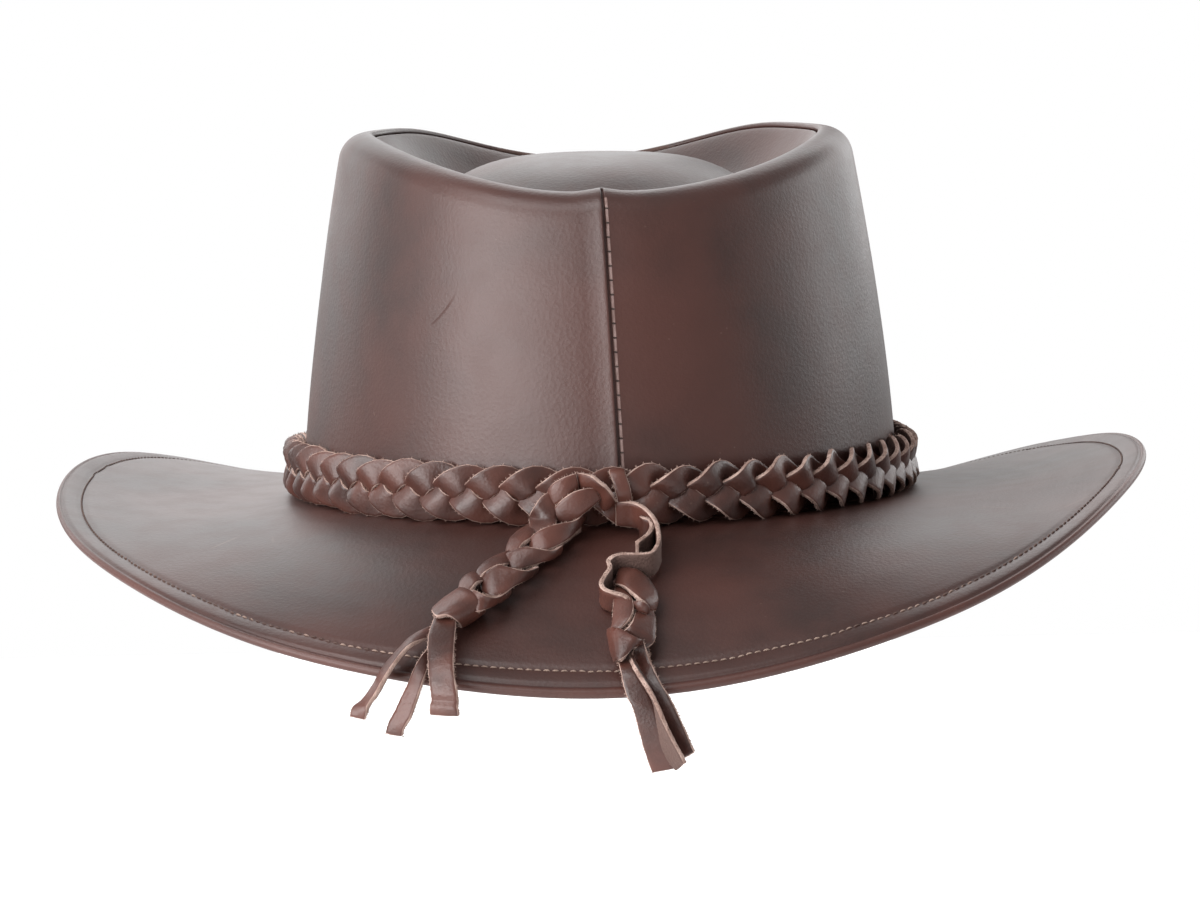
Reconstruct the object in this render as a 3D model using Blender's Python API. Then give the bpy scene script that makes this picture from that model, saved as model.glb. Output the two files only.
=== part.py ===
"""A dark brown leather hat: crown side, inset crown top, brim, braided band, knot and two tie ends.

Metres, +Z up. The origin is the middle of the head opening, at the crown's foot. The back of the
hat, with its seam and knot, is at +Y, and the wearer's left is at +X. Angles go round the hat from
the back towards +X.
"""
import math

import bmesh
import bpy
from mathutils import Vector

# Clearances
GAP = 0.0003                    # between two pieces that meet
BAND_FOOT = 0.0006              # the braid's lower edge over the brim
TIE_REST = 0.0007               # a tie end's underside over the brim

# Crown side
LEATHER = 0.0020                # the hide's thickness
BASE_HALF_WIDTH = 0.0855        # outside, at the foot
BASE_HALF_DEPTH = 0.1020
TOP_HALF_WIDTH = 0.0738         # outside, just under the ears' shoulder
TOP_HALF_DEPTH = 0.0880
WALL_BOW = 1.5                  # power by which the taper grows with height
SHOULDER_RADIUS = 0.0085
SHOULDER_TURN = 102.0           # degrees that the shoulder turns, to just past its crest
EAR_HEIGHT = 0.1038             # the rim's crest at the two sides
BACK_RIM_HEIGHT = 0.0890
FRONT_RIM_HEIGHT = 0.0930
FRONT_DIP_REACH = 60.0          # degrees each way from the front over which the rim dips
SEAM_PEAK_RISE = 0.0015         # the rim's small peak where the back seam crosses it
SEAM_PEAK_REACH = 0.0070
LAP_RISE = 0.0009               # the left panel's edge stands proud at the back seam
LAP_REACH = 0.0060
LAP_STEP = 0.0004               # half the width over which the edge drops

# Crown top, an inset panel with a groove all round a low dome
DOME_DROP = 0.0068              # the dome's crest below the ears
GROOVE_DROP = 0.0193            # the groove's bottom below the ears
TOP_EDGE_DROP = 0.0006          # the panel's edge under the shoulder's lip
TOP_PROFILE = [
    # reach as a share of the panel, dome's share of its rise, rim's share of its rise
    {"reach": 0.16, "dome": 0.995, "rim": 0.0},
    {"reach": 0.32, "dome": 0.955, "rim": 0.0},
    {"reach": 0.47, "dome": 0.83, "rim": 0.0},
    {"reach": 0.60, "dome": 0.56, "rim": 0.0},
    {"reach": 0.70, "dome": 0.22, "rim": 0.0},
    {"reach": 0.78, "dome": 0.0, "rim": 0.03},
    {"reach": 0.86, "dome": 0.0, "rim": 0.30},
    {"reach": 0.94, "dome": 0.0, "rim": 0.72},
    {"reach": 1.0, "dome": 0.0, "rim": 1.0},
]

# Brim
BRIM_WIDTH = 0.0755             # from the crown's foot to the rolled edge, along the leather
BRIM_SECTIONS = [
    # degrees round the hat, share of the brim's width, rise of the leather in degrees
    {"around": 0, "width": 0.99, "foot_slope": -15.5, "edge_slope": -45.0},
    {"around": 30, "width": 1.01, "foot_slope": -12.7, "edge_slope": -32.4},
    {"around": 60, "width": 0.98, "foot_slope": -10.8, "edge_slope": -5.0},
    {"around": 90, "width": 0.94, "foot_slope": -10.5, "edge_slope": 14.1},
    {"around": 120, "width": 1.00, "foot_slope": -4.7, "edge_slope": 14.9},
    {"around": 150, "width": 1.04, "foot_slope": -9.4, "edge_slope": -3.7},
    {"around": 180, "width": 1.03, "foot_slope": -20.4, "edge_slope": -17.8},
    {"around": 210, "width": 1.04, "foot_slope": -18.1, "edge_slope": -5.5},
    {"around": 240, "width": 1.00, "foot_slope": -11.5, "edge_slope": 17.4},
    {"around": 270, "width": 0.94, "foot_slope": -6.3, "edge_slope": 26.0},
    {"around": 300, "width": 0.98, "foot_slope": -0.6, "edge_slope": 10.2},
    {"around": 330, "width": 1.01, "foot_slope": -6.4, "edge_slope": -23.7},
]
FOOT_TILT = 0.0017              # how far the crown's foot is higher at the back
FOOT_SADDLE = 0.0008            # and at the two sides
COLLAR_HEIGHT = 0.0080          # the brim's inner margin, turned up inside the crown
COLLAR_PLAY = 0.0005            # between that margin and the crown's wall
EDGE_BEAD_RADIUS = 0.0014       # rolled edge
EDGE_BEAD_TURN = 110.0          # degrees of the bead above and below the brim's end
EDGE_BEAD_ROOM = 2.6            # bead radii of the width that the bead takes

# Braided band
BAND_HEIGHT = 0.0148
BAND_DEPTH = 0.0052
BAND_LOBES = 60                 # lobes in each of its two rows, for the whole way round
BAND_RELIEF = 0.22              # share of the depth that a lobe swells
BAND_SCALLOP = 0.0008           # waviness of its two edges
BAND_STEPS_PER_LOBE = 3

# Knot that closes the band at the back
KNOT_LEFT = 0.0150              # its two ends, measured from the back seam
KNOT_RIGHT = 0.0085
KNOT_DEPTH = 0.0105
KNOT_HEIGHT = 0.0172
KNOT_SWELL = [
    # share of the way from the left end to the right, share of depth, share of height
    {"along": 0.0, "depth": 0.55, "height": 0.86},
    {"along": 0.15, "depth": 0.74, "height": 0.93},
    {"along": 0.35, "depth": 0.95, "height": 1.0},
    {"along": 0.6, "depth": 1.0, "height": 1.0},
    {"along": 0.85, "depth": 0.80, "height": 0.93},
    {"along": 1.0, "depth": 0.55, "height": 0.86},
]

# Tie ends: a short braid, an end knot, and three lace ends
TIE_THICKNESS = 0.0060
TIE_RELIEF = 0.14               # share of the half width that a lobe swells
TIE_LOBE = 0.0105               # length of a lobe
END_KNOT_THICKNESS = 0.0100
LACE_WIDTH = 0.0080
LACE_THICKNESS = 0.0013
LEFT_TIE = {
    "route": [
        # degrees round the hat, share of the way from the band to the edge, extra lift
        {"around": 8.4, "reach": 0.0, "lift": 0.0045},
        {"around": 10.6, "reach": 0.055, "lift": 0.0015},
        {"around": 12.3, "reach": 0.14, "lift": 0.0002},
        {"around": 13.9, "reach": 0.31, "lift": 0.0002},
        {"around": 15.9, "reach": 0.47, "lift": 0.0004},
        {"around": 17.7, "reach": 0.58, "lift": 0.0010},
        {"around": 18.7, "reach": 0.70, "lift": 0.0008},
    ],
    "body": [
        # share of the route, width, whether the section belongs to the end knot
        {"along": 0.0, "width": 0.0105, "knot": 0.0},
        {"along": 0.35, "width": 0.0115, "knot": 0.0},
        {"along": 0.68, "width": 0.0112, "knot": 0.0},
        {"along": 0.76, "width": 0.0130, "knot": 0.6},
        {"along": 0.86, "width": 0.0150, "knot": 1.0},
        {"along": 0.95, "width": 0.0130, "knot": 0.8},
        {"along": 1.0, "width": 0.0095, "knot": 0.2},
    ],
    "laces": [
        # turn: 0 lies flat on the brim, 90 stands on its edge
        # way: degrees round the hat, share of the brim's width
        {"turn": 62.0, "way": [(18.7, 0.71), (19.9, 0.83), (21.6, 0.97), (23.4, 1.09), (24.6, 1.145)]},
        {"turn": 38.0, "way": [(18.6, 0.70), (19.4, 0.85), (19.8, 0.99), (20.7, 1.10), (21.5, 1.19)]},
        {"turn": 3.0, "way": [(18.5, 0.69), (18.3, 0.84), (17.5, 0.965), (17.1, 1.04), (16.9, 1.10)]},
    ],
}
RIGHT_TIE = {
    "route": [
        {"around": -2.4, "reach": 0.0, "lift": 0.0050},
        {"around": -3.5, "reach": 0.07, "lift": 0.0046},
        {"around": -4.0, "reach": 0.175, "lift": 0.0035},
        {"around": -2.6, "reach": 0.275, "lift": 0.0016},
        {"around": -0.1, "reach": 0.42, "lift": 0.0008},
        {"around": 0.4, "reach": 0.615, "lift": 0.0006},
        {"around": 0.4, "reach": 0.80, "lift": 0.0006},
        {"around": 0.3, "reach": 0.89, "lift": 0.0006},
    ],
    "body": [
        {"along": 0.0, "width": 0.0080, "knot": 0.0},
        {"along": 0.30, "width": 0.0084, "knot": 0.0},
        {"along": 0.45, "width": 0.0125, "knot": 0.1},
        {"along": 0.70, "width": 0.0130, "knot": 0.1},
        {"along": 0.80, "width": 0.0120, "knot": 0.3},
        {"along": 0.88, "width": 0.0140, "knot": 1.0},
        {"along": 0.96, "width": 0.0120, "knot": 0.9},
        {"along": 1.0, "width": 0.0090, "knot": 0.2},
    ],
    "laces": [
        {"turn": 14.0, "way": [(0.5, 0.86), (0.2, 0.97), (-0.3, 1.06), (-0.9, 1.16), (-1.5, 1.265)]},
        {"turn": 68.0, "way": [(0.0, 0.86), (-0.7, 0.985), (-1.7, 1.11), (-2.5, 1.20), (-3.1, 1.262)]},
        {"turn": -34.0, "way": [(-0.4, 0.87), (-1.5, 0.975), (-2.7, 1.07), (-3.6, 1.14), (-4.5, 1.215)]},
    ],
}
HANG_OUT = 0.25                 # a lace past the brim's edge goes out by this much
HANG_DOWN = 0.97                # and down by this much
HANG_START = 0.94               # share of the brim's width where a lace starts to bend down
HANG_BEND = 0.14                # share of the brim's width over which it bends

# Steps and shading of the faceted solids
SMOOTH_ANGLE = 50.0
ROUND_STEPS = 56
WALL_STEPS = 5
SHOULDER_STEPS = 5
BRIM_STEPS = 7
SLOPE_PARTS = 24
BEAD_STEPS = 5
KNOT_STEPS = 8
TIE_STEPS = 18
LACE_STEPS = 7
SEAM_ANGLE_ROOM = 0.004         # radians around a seam corner without an even section

# Outlines of the wraps' and tie ends' sections, as shares of their half height and depth
WRAP_OUTLINE = [(0.93, 0.45), (0.72, 0.86), (0.28, 1.0), (-0.28, 1.0), (-0.72, 0.86), (-0.93, 0.45)]
TIE_OUTLINE = [(1.0, 0.0), (0.78, 0.72), (0.0, 1.0), (-0.78, 0.72),
               (-1.0, 0.0), (-0.78, -0.72), (0.0, -1.0), (0.78, -0.72)]


def leather_material(name, colour, roughness):
    """A plain leather finish."""
    material = bpy.data.materials.new(name)
    material.use_nodes = True
    shader = material.node_tree.nodes["Principled BSDF"]
    shader.inputs["Base Color"].default_value = (*colour, 1.0)
    shader.inputs["Roughness"].default_value = roughness
    shader.inputs["Metallic"].default_value = 0.0
    return material


def add_object(name, bm, material):
    """The bmesh as an object, with its faces pointing out and round faces shaded smooth."""
    bmesh.ops.recalc_face_normals(bm, faces=bm.faces)
    mesh = bpy.data.meshes.new(name)
    bm.to_mesh(mesh)
    bm.free()
    mesh.materials.append(material)
    mesh.shade_smooth()
    mesh.set_sharp_from_angle(angle=math.radians(SMOOTH_ANGLE))
    piece = bpy.data.objects.new(name, mesh)
    bpy.context.scene.collection.objects.link(piece)
    return piece


def sweep(name, sections, material, closed_run):
    """A solid through closed sections of equal count, either a ring or a run with two end faces."""
    bm = bmesh.new()
    rings = [[bm.verts.new(point) for point in section] for section in sections]
    following = rings[1:] + rings[:1] if closed_run else rings[1:]
    for ring, next_ring in zip(rings, following):
        for i in range(len(ring)):
            j = (i + 1) % len(ring)
            bm.faces.new((ring[i], ring[j], next_ring[j], next_ring[i]))
    if not closed_run:
        bm.faces.new(rings[0])
        bm.faces.new(rings[-1])
    return add_object(name, bm, material)


def blend_rows(rows, key, column, place):
    """A column's value between the rows of an open table, straight from row to row."""
    if place <= rows[0][key]:
        return rows[0][column]
    for row, next_row in zip(rows, rows[1:]):
        if place <= next_row[key]:
            share = (place - row[key]) / (next_row[key] - row[key])
            return row[column] + share * (next_row[column] - row[column])
    return rows[-1][column]


def smooth_between(before, start, end, after, share):
    """A smooth curve through four neighbours, between the middle two."""
    return start + 0.5 * share * (
        end - before
        + share * (2.0 * before - 5.0 * start + 4.0 * end - after
                   + share * (3.0 * (start - end) + after - before)))


def brim_value(column, angle):
    """A column of the brim's table at an angle in radians, smooth all the way round."""
    count = len(BRIM_SECTIONS)
    place = (angle / math.tau * count) % count
    row = int(place)
    before, start, end, after = [BRIM_SECTIONS[(row + i) % count][column] for i in (-1, 0, 1, 2)]
    return smooth_between(before, start, end, after, place - row)


def foot_height(angle):
    """Height of the crown's foot, which follows the saddle of the brim."""
    return FOOT_TILT * math.cos(angle) - FOOT_SADDLE * math.cos(2.0 * angle)


def rim_height(angle):
    """Height of the rim's crest: high at the ears, low at the back and the front."""
    if math.cos(angle) >= 0.0:
        side = math.sin(angle) ** 2
        low = BACK_RIM_HEIGHT
    else:
        from_front = math.degrees(math.pi - abs(wrapped(angle)))
        side = math.sin(math.radians(90.0) * min(1.0, from_front / FRONT_DIP_REACH)) ** 2
        low = FRONT_RIM_HEIGHT
    peak = SEAM_PEAK_RISE * math.exp(-(seam_distance(angle) / SEAM_PEAK_REACH) ** 2)
    return low + (EAR_HEIGHT - low) * side + peak


def wrapped(angle):
    """The angle between minus and plus half a turn."""
    return (angle + math.pi) % math.tau - math.pi


def seam_distance(angle):
    """How far an angle is from the back seam, towards the wearer's left."""
    return wrapped(angle) * BASE_HALF_WIDTH


def seam_lap(angle):
    """How far the left panel's edge stands proud at the back seam."""
    distance = seam_distance(angle)
    if distance <= -LAP_STEP or distance >= LAP_REACH:
        return 0.0
    if distance < LAP_STEP:
        return LAP_RISE * (distance + LAP_STEP) / (2.0 * LAP_STEP)
    return LAP_RISE * (1.0 - (distance - LAP_STEP) / (LAP_REACH - LAP_STEP))


def oval_point(half_width, half_depth, angle, height, outward=0.0):
    """A point of an oval round the hat, moved square to the oval."""
    side = Vector((math.sin(angle) / half_width, math.cos(angle) / half_depth, 0.0)).normalized()
    foot = Vector((half_width * math.sin(angle), half_depth * math.cos(angle), height))
    return foot + side * outward


def outward_way(angle):
    """The level direction square to the crown's foot."""
    way = Vector((math.sin(angle) / BASE_HALF_WIDTH, math.cos(angle) / BASE_HALF_DEPTH, 0.0))
    return way.normalized()


def crown_point(angle, height, outward=0.0):
    """A point of the crown's outer face, tapered and bowed, moved outwards."""
    share = max(0.0, height) / (EAR_HEIGHT - SHOULDER_RADIUS)
    taper = min(1.0, share) ** WALL_BOW
    half_width = BASE_HALF_WIDTH + (TOP_HALF_WIDTH - BASE_HALF_WIDTH) * taper
    half_depth = BASE_HALF_DEPTH + (TOP_HALF_DEPTH - BASE_HALF_DEPTH) * taper
    return oval_point(half_width, half_depth, angle, height, outward)


def shoulder_point(angle, turn, proud=0.0):
    """A point of the shoulder's outer face, after it has turned by this many radians."""
    start = rim_height(angle) - SHOULDER_RADIUS
    foot = crown_point(angle, start, proud * max(0.0, math.cos(turn)))
    inward = SHOULDER_RADIUS * (1.0 - math.cos(turn))
    return foot - outward_way(angle) * inward + Vector((0.0, 0.0, SHOULDER_RADIUS * math.sin(turn)))


def crown_run(angle, proud):
    """The wall's outer face from its foot to the shoulder's lip, standing proud by some amount."""
    foot = foot_height(angle) + GAP
    wall_top = rim_height(angle) - SHOULDER_RADIUS
    run = []
    for i in range(WALL_STEPS):
        run.append(crown_point(angle, foot + (wall_top - foot) * i / WALL_STEPS, proud))
    for i in range(SHOULDER_STEPS + 1):
        run.append(shoulder_point(angle, math.radians(SHOULDER_TURN) * i / SHOULDER_STEPS, proud))
    return run


def underside(run, outward, depth, level_start):
    """The run of points moved by depth towards the hat's inside, square to the run."""
    moved = []
    for i, point in enumerate(run):
        legs = []
        if i > 0:
            legs.append(point - run[i - 1])
        if i < len(run) - 1:
            legs.append(run[i + 1] - point)
        normals = [Vector((-leg.z, leg.dot(outward))).normalized() for leg in legs]
        if i == 0 and level_start:
            step = Vector((-1.0, 0.0)) * math.copysign(1.0, -normals[0].x)
        else:
            total = sum(normals, Vector((0.0, 0.0))).normalized()
            step = total / max(0.5, total.dot(normals[0]))
        moved.append(point + depth * (outward * step.x + Vector((0.0, 0.0, step.y))))
    return moved


def round_angles(extra=()):
    """Even angles round the hat, in radians, with a few more where detail needs them."""
    even = [math.tau * i / ROUND_STEPS for i in range(ROUND_STEPS)]
    kept = [angle for angle in even
            if all(abs(wrapped(angle - spot)) > SEAM_ANGLE_ROOM for spot in extra)]
    return sorted(kept + [spot % math.tau for spot in extra])


def seam_angles():
    """Angles of the corners of the back seam's lap."""
    spots = (-LAP_STEP, LAP_STEP, LAP_REACH)
    return [spot / BASE_HALF_WIDTH for spot in spots]


def make_crown_side(material):
    """The tapered wall with its turned-in shoulder, open below and above."""
    sections = []
    for angle in round_angles(seam_angles()):
        inner = underside(crown_run(angle, 0.0), outward_way(angle), LEATHER, level_start=True)
        sections.append(crown_run(angle, seam_lap(angle)) + inner[::-1])
    return sweep("crown_side", sections, material, closed_run=True)


def top_edge_point(angle):
    """The crown top's edge, which meets the shoulder's lip face to face."""
    lip = shoulder_point(angle, math.radians(SHOULDER_TURN))
    return lip - outward_way(angle) * GAP - Vector((0.0, 0.0, TOP_EDGE_DROP))


def make_crown_top(material):
    """The inset panel: a low dome in a groove that runs all round inside the rim."""
    bm = bmesh.new()
    angles = round_angles()
    crest = EAR_HEIGHT - DOME_DROP
    bottom = EAR_HEIGHT - GROOVE_DROP
    faces_up = []
    for row in TOP_PROFILE:
        ring = []
        for angle in angles:
            edge = top_edge_point(angle)
            height = bottom + (crest - bottom) * row["dome"] + (edge.z - bottom) * row["rim"]
            ring.append(Vector((edge.x * row["reach"], edge.y * row["reach"], height)))
        faces_up.append(ring)
    middle = Vector((0.0, 0.0, crest))
    faces_down = []
    for k, ring in enumerate(faces_up):
        lower = []
        for i, point in enumerate(ring):
            inner = faces_up[k - 1][i] if k else middle
            outer = faces_up[k + 1][i] if k < len(faces_up) - 1 else point
            leg = outer - inner
            level = Vector((leg.x, leg.y, 0.0))
            tilt = math.atan2(leg.z, level.length)
            drop = Vector((0.0, 0.0, -LEATHER * math.cos(tilt)))
            lower.append(point + level.normalized() * LEATHER * math.sin(tilt) + drop)
        faces_down.append(lower)
    # The edge face stays square, so the panel can't reach under the lip.
    for i, angle in enumerate(angles):
        edge = faces_up[-1][i]
        faces_down[-1][i] = Vector((edge.x, edge.y, edge.z - LEATHER))
    rings = [[bm.verts.new(p) for p in ring] for ring in faces_up + faces_down[::-1]]
    upper_pole = bm.verts.new(middle)
    lower_pole = bm.verts.new(middle - Vector((0.0, 0.0, LEATHER)))
    count = len(angles)
    for ring, next_ring in zip(rings, rings[1:]):
        for i in range(count):
            j = (i + 1) % count
            bm.faces.new((ring[i], ring[j], next_ring[j], next_ring[i]))
    for i in range(count):
        j = (i + 1) % count
        bm.faces.new((upper_pole, rings[0][i], rings[0][j]))
        bm.faces.new((lower_pole, rings[-1][j], rings[-1][i]))
    return add_object("crown_top", bm, material)


def brim_run(angle, reach):
    """Outward distance, rise and slope of the brim's upper face at a share of its width."""
    width = BRIM_WIDTH * brim_value("width", angle)
    foot_slope = math.radians(brim_value("foot_slope", angle))
    edge_slope = math.radians(brim_value("edge_slope", angle))
    out = 0.0
    rise = 0.0
    covered = min(reach, 1.0)
    for i in range(SLOPE_PARTS):
        slope = foot_slope + (edge_slope - foot_slope) * covered * (i + 0.5) / SLOPE_PARTS
        out += width * covered / SLOPE_PARTS * math.cos(slope)
        rise += width * covered / SLOPE_PARTS * math.sin(slope)
    beyond = max(0.0, reach - 1.0) * width
    out += beyond * HANG_OUT
    rise -= beyond * HANG_DOWN
    return out, rise, foot_slope + (edge_slope - foot_slope) * covered


def brim_point(angle, reach, lift=0.0):
    """A point over the brim's upper face, or where a lace hangs past its edge."""
    out, rise, slope = brim_run(angle, reach)
    foot = oval_point(BASE_HALF_WIDTH, BASE_HALF_DEPTH, angle, foot_height(angle))
    point = foot + outward_way(angle) * out + Vector((0.0, 0.0, rise))
    return point + brim_normal(angle, reach, slope) * lift


def brim_normal(angle, reach, slope):
    """The direction square to the brim's upper face."""
    hang = math.atan2(HANG_DOWN, HANG_OUT)
    past = min(1.0, max(0.0, (reach - HANG_START) / HANG_BEND))
    tilt = slope + (-hang - slope) * past
    return outward_way(angle) * -math.sin(tilt) + Vector((0.0, 0.0, math.cos(tilt)))


def make_brim(material):
    """The saddle-shaped brim, its turned-up inner margin and its rolled edge."""
    sections = []
    for angle in round_angles():
        outward = outward_way(angle)
        foot = oval_point(BASE_HALF_WIDTH, BASE_HALF_DEPTH, angle, foot_height(angle))
        inside = foot - outward * (LEATHER + COLLAR_PLAY)
        collar_top = crown_point(angle, foot.z + COLLAR_HEIGHT, -LEATHER - COLLAR_PLAY)
        run = [collar_top, inside]
        width = BRIM_WIDTH * brim_value("width", angle)
        sheet_end = 1.0 - EDGE_BEAD_ROOM * EDGE_BEAD_RADIUS / width
        run += [brim_point(angle, sheet_end * i / BRIM_STEPS) for i in range(BRIM_STEPS + 1)]
        lower = underside(run, outward, -LEATHER, level_start=False)
        slope = brim_run(angle, 1.0)[2]
        along = outward * math.cos(slope) + Vector((0.0, 0.0, math.sin(slope)))
        across = outward * -math.sin(slope) + Vector((0.0, 0.0, math.cos(slope)))
        centre = brim_point(angle, 1.0) - along * EDGE_BEAD_RADIUS - across * (LEATHER / 2.0)
        bead = []
        for i in range(BEAD_STEPS + 1):
            bend = math.radians(EDGE_BEAD_TURN) * (1.0 - 2.0 * i / BEAD_STEPS)
            bead.append(centre + EDGE_BEAD_RADIUS * (along * math.cos(bend) + across * math.sin(bend)))
        sections.append(run + bead + lower[::-1])
    return sweep("brim", sections, material, closed_run=True)


def wrap_section(angle, clearance, low, high, upper_depth, lower_depth):
    """A closed section of a wrap round the crown: flat at the back, rounded in front."""
    mid = (low + high) / 2.0
    half = (high - low) / 2.0
    points = []
    for height in (low, high):
        points.append(crown_point(angle, height, clearance + seam_lap(angle)))
    for rise, bulge in WRAP_OUTLINE:
        depth = upper_depth if rise > 0 else lower_depth
        points.append(crown_point(angle, mid + half * rise, clearance + seam_lap(angle) + bulge * depth))
    return points


def make_band(material):
    """The braid as one solid, with the lobes of its two rows, open where the knot sits."""
    first = (KNOT_LEFT + GAP) / BASE_HALF_WIDTH
    last = math.tau - (KNOT_RIGHT + GAP) / BASE_HALF_WIDTH
    steps = round((last - first) / math.tau * BAND_LOBES * BAND_STEPS_PER_LOBE)
    sections = []
    for i in range(steps + 1):
        angle = first + (last - first) * i / steps
        phase = angle * BAND_LOBES
        upper = math.cos(phase)
        lower = -upper
        low = foot_height(angle) + BAND_FOOT + BAND_SCALLOP * (1.0 - lower)
        high = foot_height(angle) + BAND_FOOT + BAND_HEIGHT - BAND_SCALLOP * (1.0 - upper)
        swell = BAND_DEPTH * BAND_RELIEF / 2.0
        depth = BAND_DEPTH - swell
        sections.append(wrap_section(angle, GAP, low, high, depth + swell * upper, depth + swell * lower))
    return sweep("hat_band", sections, material, closed_run=False)


def make_knot(name, material, grow):
    """The knot's lump at the back, or the same form grown on every side as a cutter."""
    first = (KNOT_LEFT + grow) / BASE_HALF_WIDTH
    last = -(KNOT_RIGHT + grow) / BASE_HALF_WIDTH
    sections = []
    for i in range(KNOT_STEPS + 1):
        along = i / KNOT_STEPS
        angle = first + (last - first) * along
        height = KNOT_HEIGHT * blend_rows(KNOT_SWELL, "along", "height", along)
        depth = KNOT_DEPTH * blend_rows(KNOT_SWELL, "along", "depth", along) + 2.0 * grow
        low = foot_height(angle) + BAND_FOOT - grow
        high = foot_height(angle) + BAND_FOOT + height + grow
        sections.append(wrap_section(angle, GAP - grow, low, high, depth, depth))
    return sweep(name, sections, material, closed_run=False)


def flat_frame(points, normals, i):
    """The directions across and over a run of points that lies on a surface."""
    before = points[max(0, i - 1)]
    after = points[min(len(points) - 1, i + 1)]
    along = (after - before).normalized()
    across = along.cross(normals[i]).normalized()
    return across, across.cross(along)


def smooth_table(rows, columns, steps):
    """Rows of a route, made dense by a smooth curve through them."""
    dense = []
    spans = len(rows) - 1
    for i in range(steps + 1):
        place = min(i * spans / steps, spans - 1e-9)
        row = int(place)
        spots = [rows[min(max(row + j, 0), spans)] for j in (-1, 0, 1, 2)]
        dense.append([smooth_between(*[spot[column] for spot in spots], place - row)
                      for column in columns])
    return dense


def lobed_section(point, across, over, width, thickness, relief):
    """Eight points of a flattened braid, wider on one side as its lobes alternate."""
    section = []
    for side, rise in TIE_OUTLINE:
        reach = width / 2.0 * side * (1.0 + relief * math.copysign(1.0, side))
        section.append(point + across * reach + over * (rise * thickness / 2.0))
    return section


def make_lace_end(name, lace, material):
    """One free lace end: a flat strip along its way, turned about its run."""
    rows = [{"around": around, "reach": reach} for around, reach in lace["way"]]
    turn = math.radians(lace["turn"])
    half_rise = (LACE_WIDTH * abs(math.sin(turn)) + LACE_THICKNESS * abs(math.cos(turn))) / 2.0
    points = []
    normals = []
    for around, reach in smooth_table(rows, ("around", "reach"), LACE_STEPS):
        angle = math.radians(around)
        points.append(brim_point(angle, reach, TIE_REST + half_rise))
        normals.append(brim_normal(angle, reach, brim_run(angle, reach)[2]))
    sections = []
    for i, point in enumerate(points):
        across, over = flat_frame(points, normals, i)
        side = across * math.cos(turn) + over * math.sin(turn)
        face = over * math.cos(turn) - across * math.sin(turn)
        half_width = side * (LACE_WIDTH / 2.0)
        half_depth = face * (LACE_THICKNESS / 2.0)
        sections.append([point + half_width + half_depth, point - half_width + half_depth,
                         point - half_width - half_depth, point + half_width - half_depth])
    return sweep(name, sections, material, closed_run=False)


def make_tie(name, tie, material):
    """A tie end: its braid and end knot, with three lace ends joined on, clear of the band's knot."""
    dense = smooth_table(tie["route"], ("around", "reach", "lift"), TIE_STEPS)
    body = tie["body"]
    past_band = (BAND_DEPTH + 2.0 * GAP + TIE_THICKNESS / 2.0) / BRIM_WIDTH
    points = []
    normals = []
    sizes = []
    for i, (around, reach, lift) in enumerate(dense):
        along = i / TIE_STEPS
        angle = math.radians(around)
        knotted = blend_rows(body, "along", "knot", along)
        thickness = TIE_THICKNESS + (END_KNOT_THICKNESS - TIE_THICKNESS) * knotted
        reach = past_band + reach * (1.0 - past_band)
        points.append(brim_point(angle, reach, TIE_REST + lift + thickness / 2.0))
        normals.append(brim_normal(angle, reach, brim_run(angle, reach)[2]))
        sizes.append((blend_rows(body, "along", "width", along), thickness, 1.0 - knotted))
    length = sum((b - a).length for a, b in zip(points, points[1:]))
    sections = []
    for i, point in enumerate(points):
        across, over = flat_frame(points, normals, i)
        width, thickness, braided = sizes[i]
        relief = TIE_RELIEF * braided * math.cos(math.pi * length * i / TIE_STEPS / TIE_LOBE)
        sections.append(lobed_section(point, across, over, width, thickness, relief))
    piece = sweep(name, sections, material, closed_run=False)
    for number, lace in enumerate(tie["laces"], start=1):
        join(piece, make_lace_end(f"{name}_lace_{number}", lace, material), "UNION")
    join(piece, make_knot(f"{name}_knot_clearance", material, GAP), "DIFFERENCE")
    return piece


def join(piece, tool, operation):
    """A Boolean of the piece with a hidden tool. Where a lace bends, its own faces may cross."""
    tool.hide_render = True
    tool.display_type = "WIRE"
    modifier = piece.modifiers.new(tool.name, "BOOLEAN")
    modifier.operation = operation
    modifier.solver = "EXACT"
    modifier.use_self = True
    modifier.object = tool


def main():
    for item in list(bpy.data.objects):
        bpy.data.objects.remove(item, do_unlink=True)
    hide = leather_material("crown_leather", (0.075, 0.035, 0.028), 0.38)
    brim_hide = leather_material("brim_leather", (0.075, 0.038, 0.030), 0.38)
    lace = leather_material("lace_leather", (0.095, 0.045, 0.034), 0.42)
    make_crown_side(hide)
    make_crown_top(hide)
    make_brim(brim_hide)
    make_band(lace)
    make_knot("band_knot", lace, 0.0)
    make_tie("tie_left", LEFT_TIE, lace)
    make_tie("tie_right", RIGHT_TIE, lace)


main()
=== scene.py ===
# %% [markdown]
# # A leather hat with a braided band
#
# A brown oiled hat: a tapered crown with an inset domed top, a curled brim with a stitched and
# rolled edge, and a three-lace braid tied at the back. The solids of the hat are already made, at
# their real size, and come in as a fixed frame. This lesson dresses them. Each hide is a smooth copy
# of its solid with its seams worked in, and each lace and stitch is a piece of its own.
#
# Lengths are in metres, and +Z is up. The back of the hat is at +Y, the wearer's left at +X. Angles
# round the hat start at the back and grow towards +X.

# %% Load the frame
import math

import bmesh
import bpy
import numpy as np
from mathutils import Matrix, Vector, kdtree
from mathutils.bvhtree import BVHTree


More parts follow.
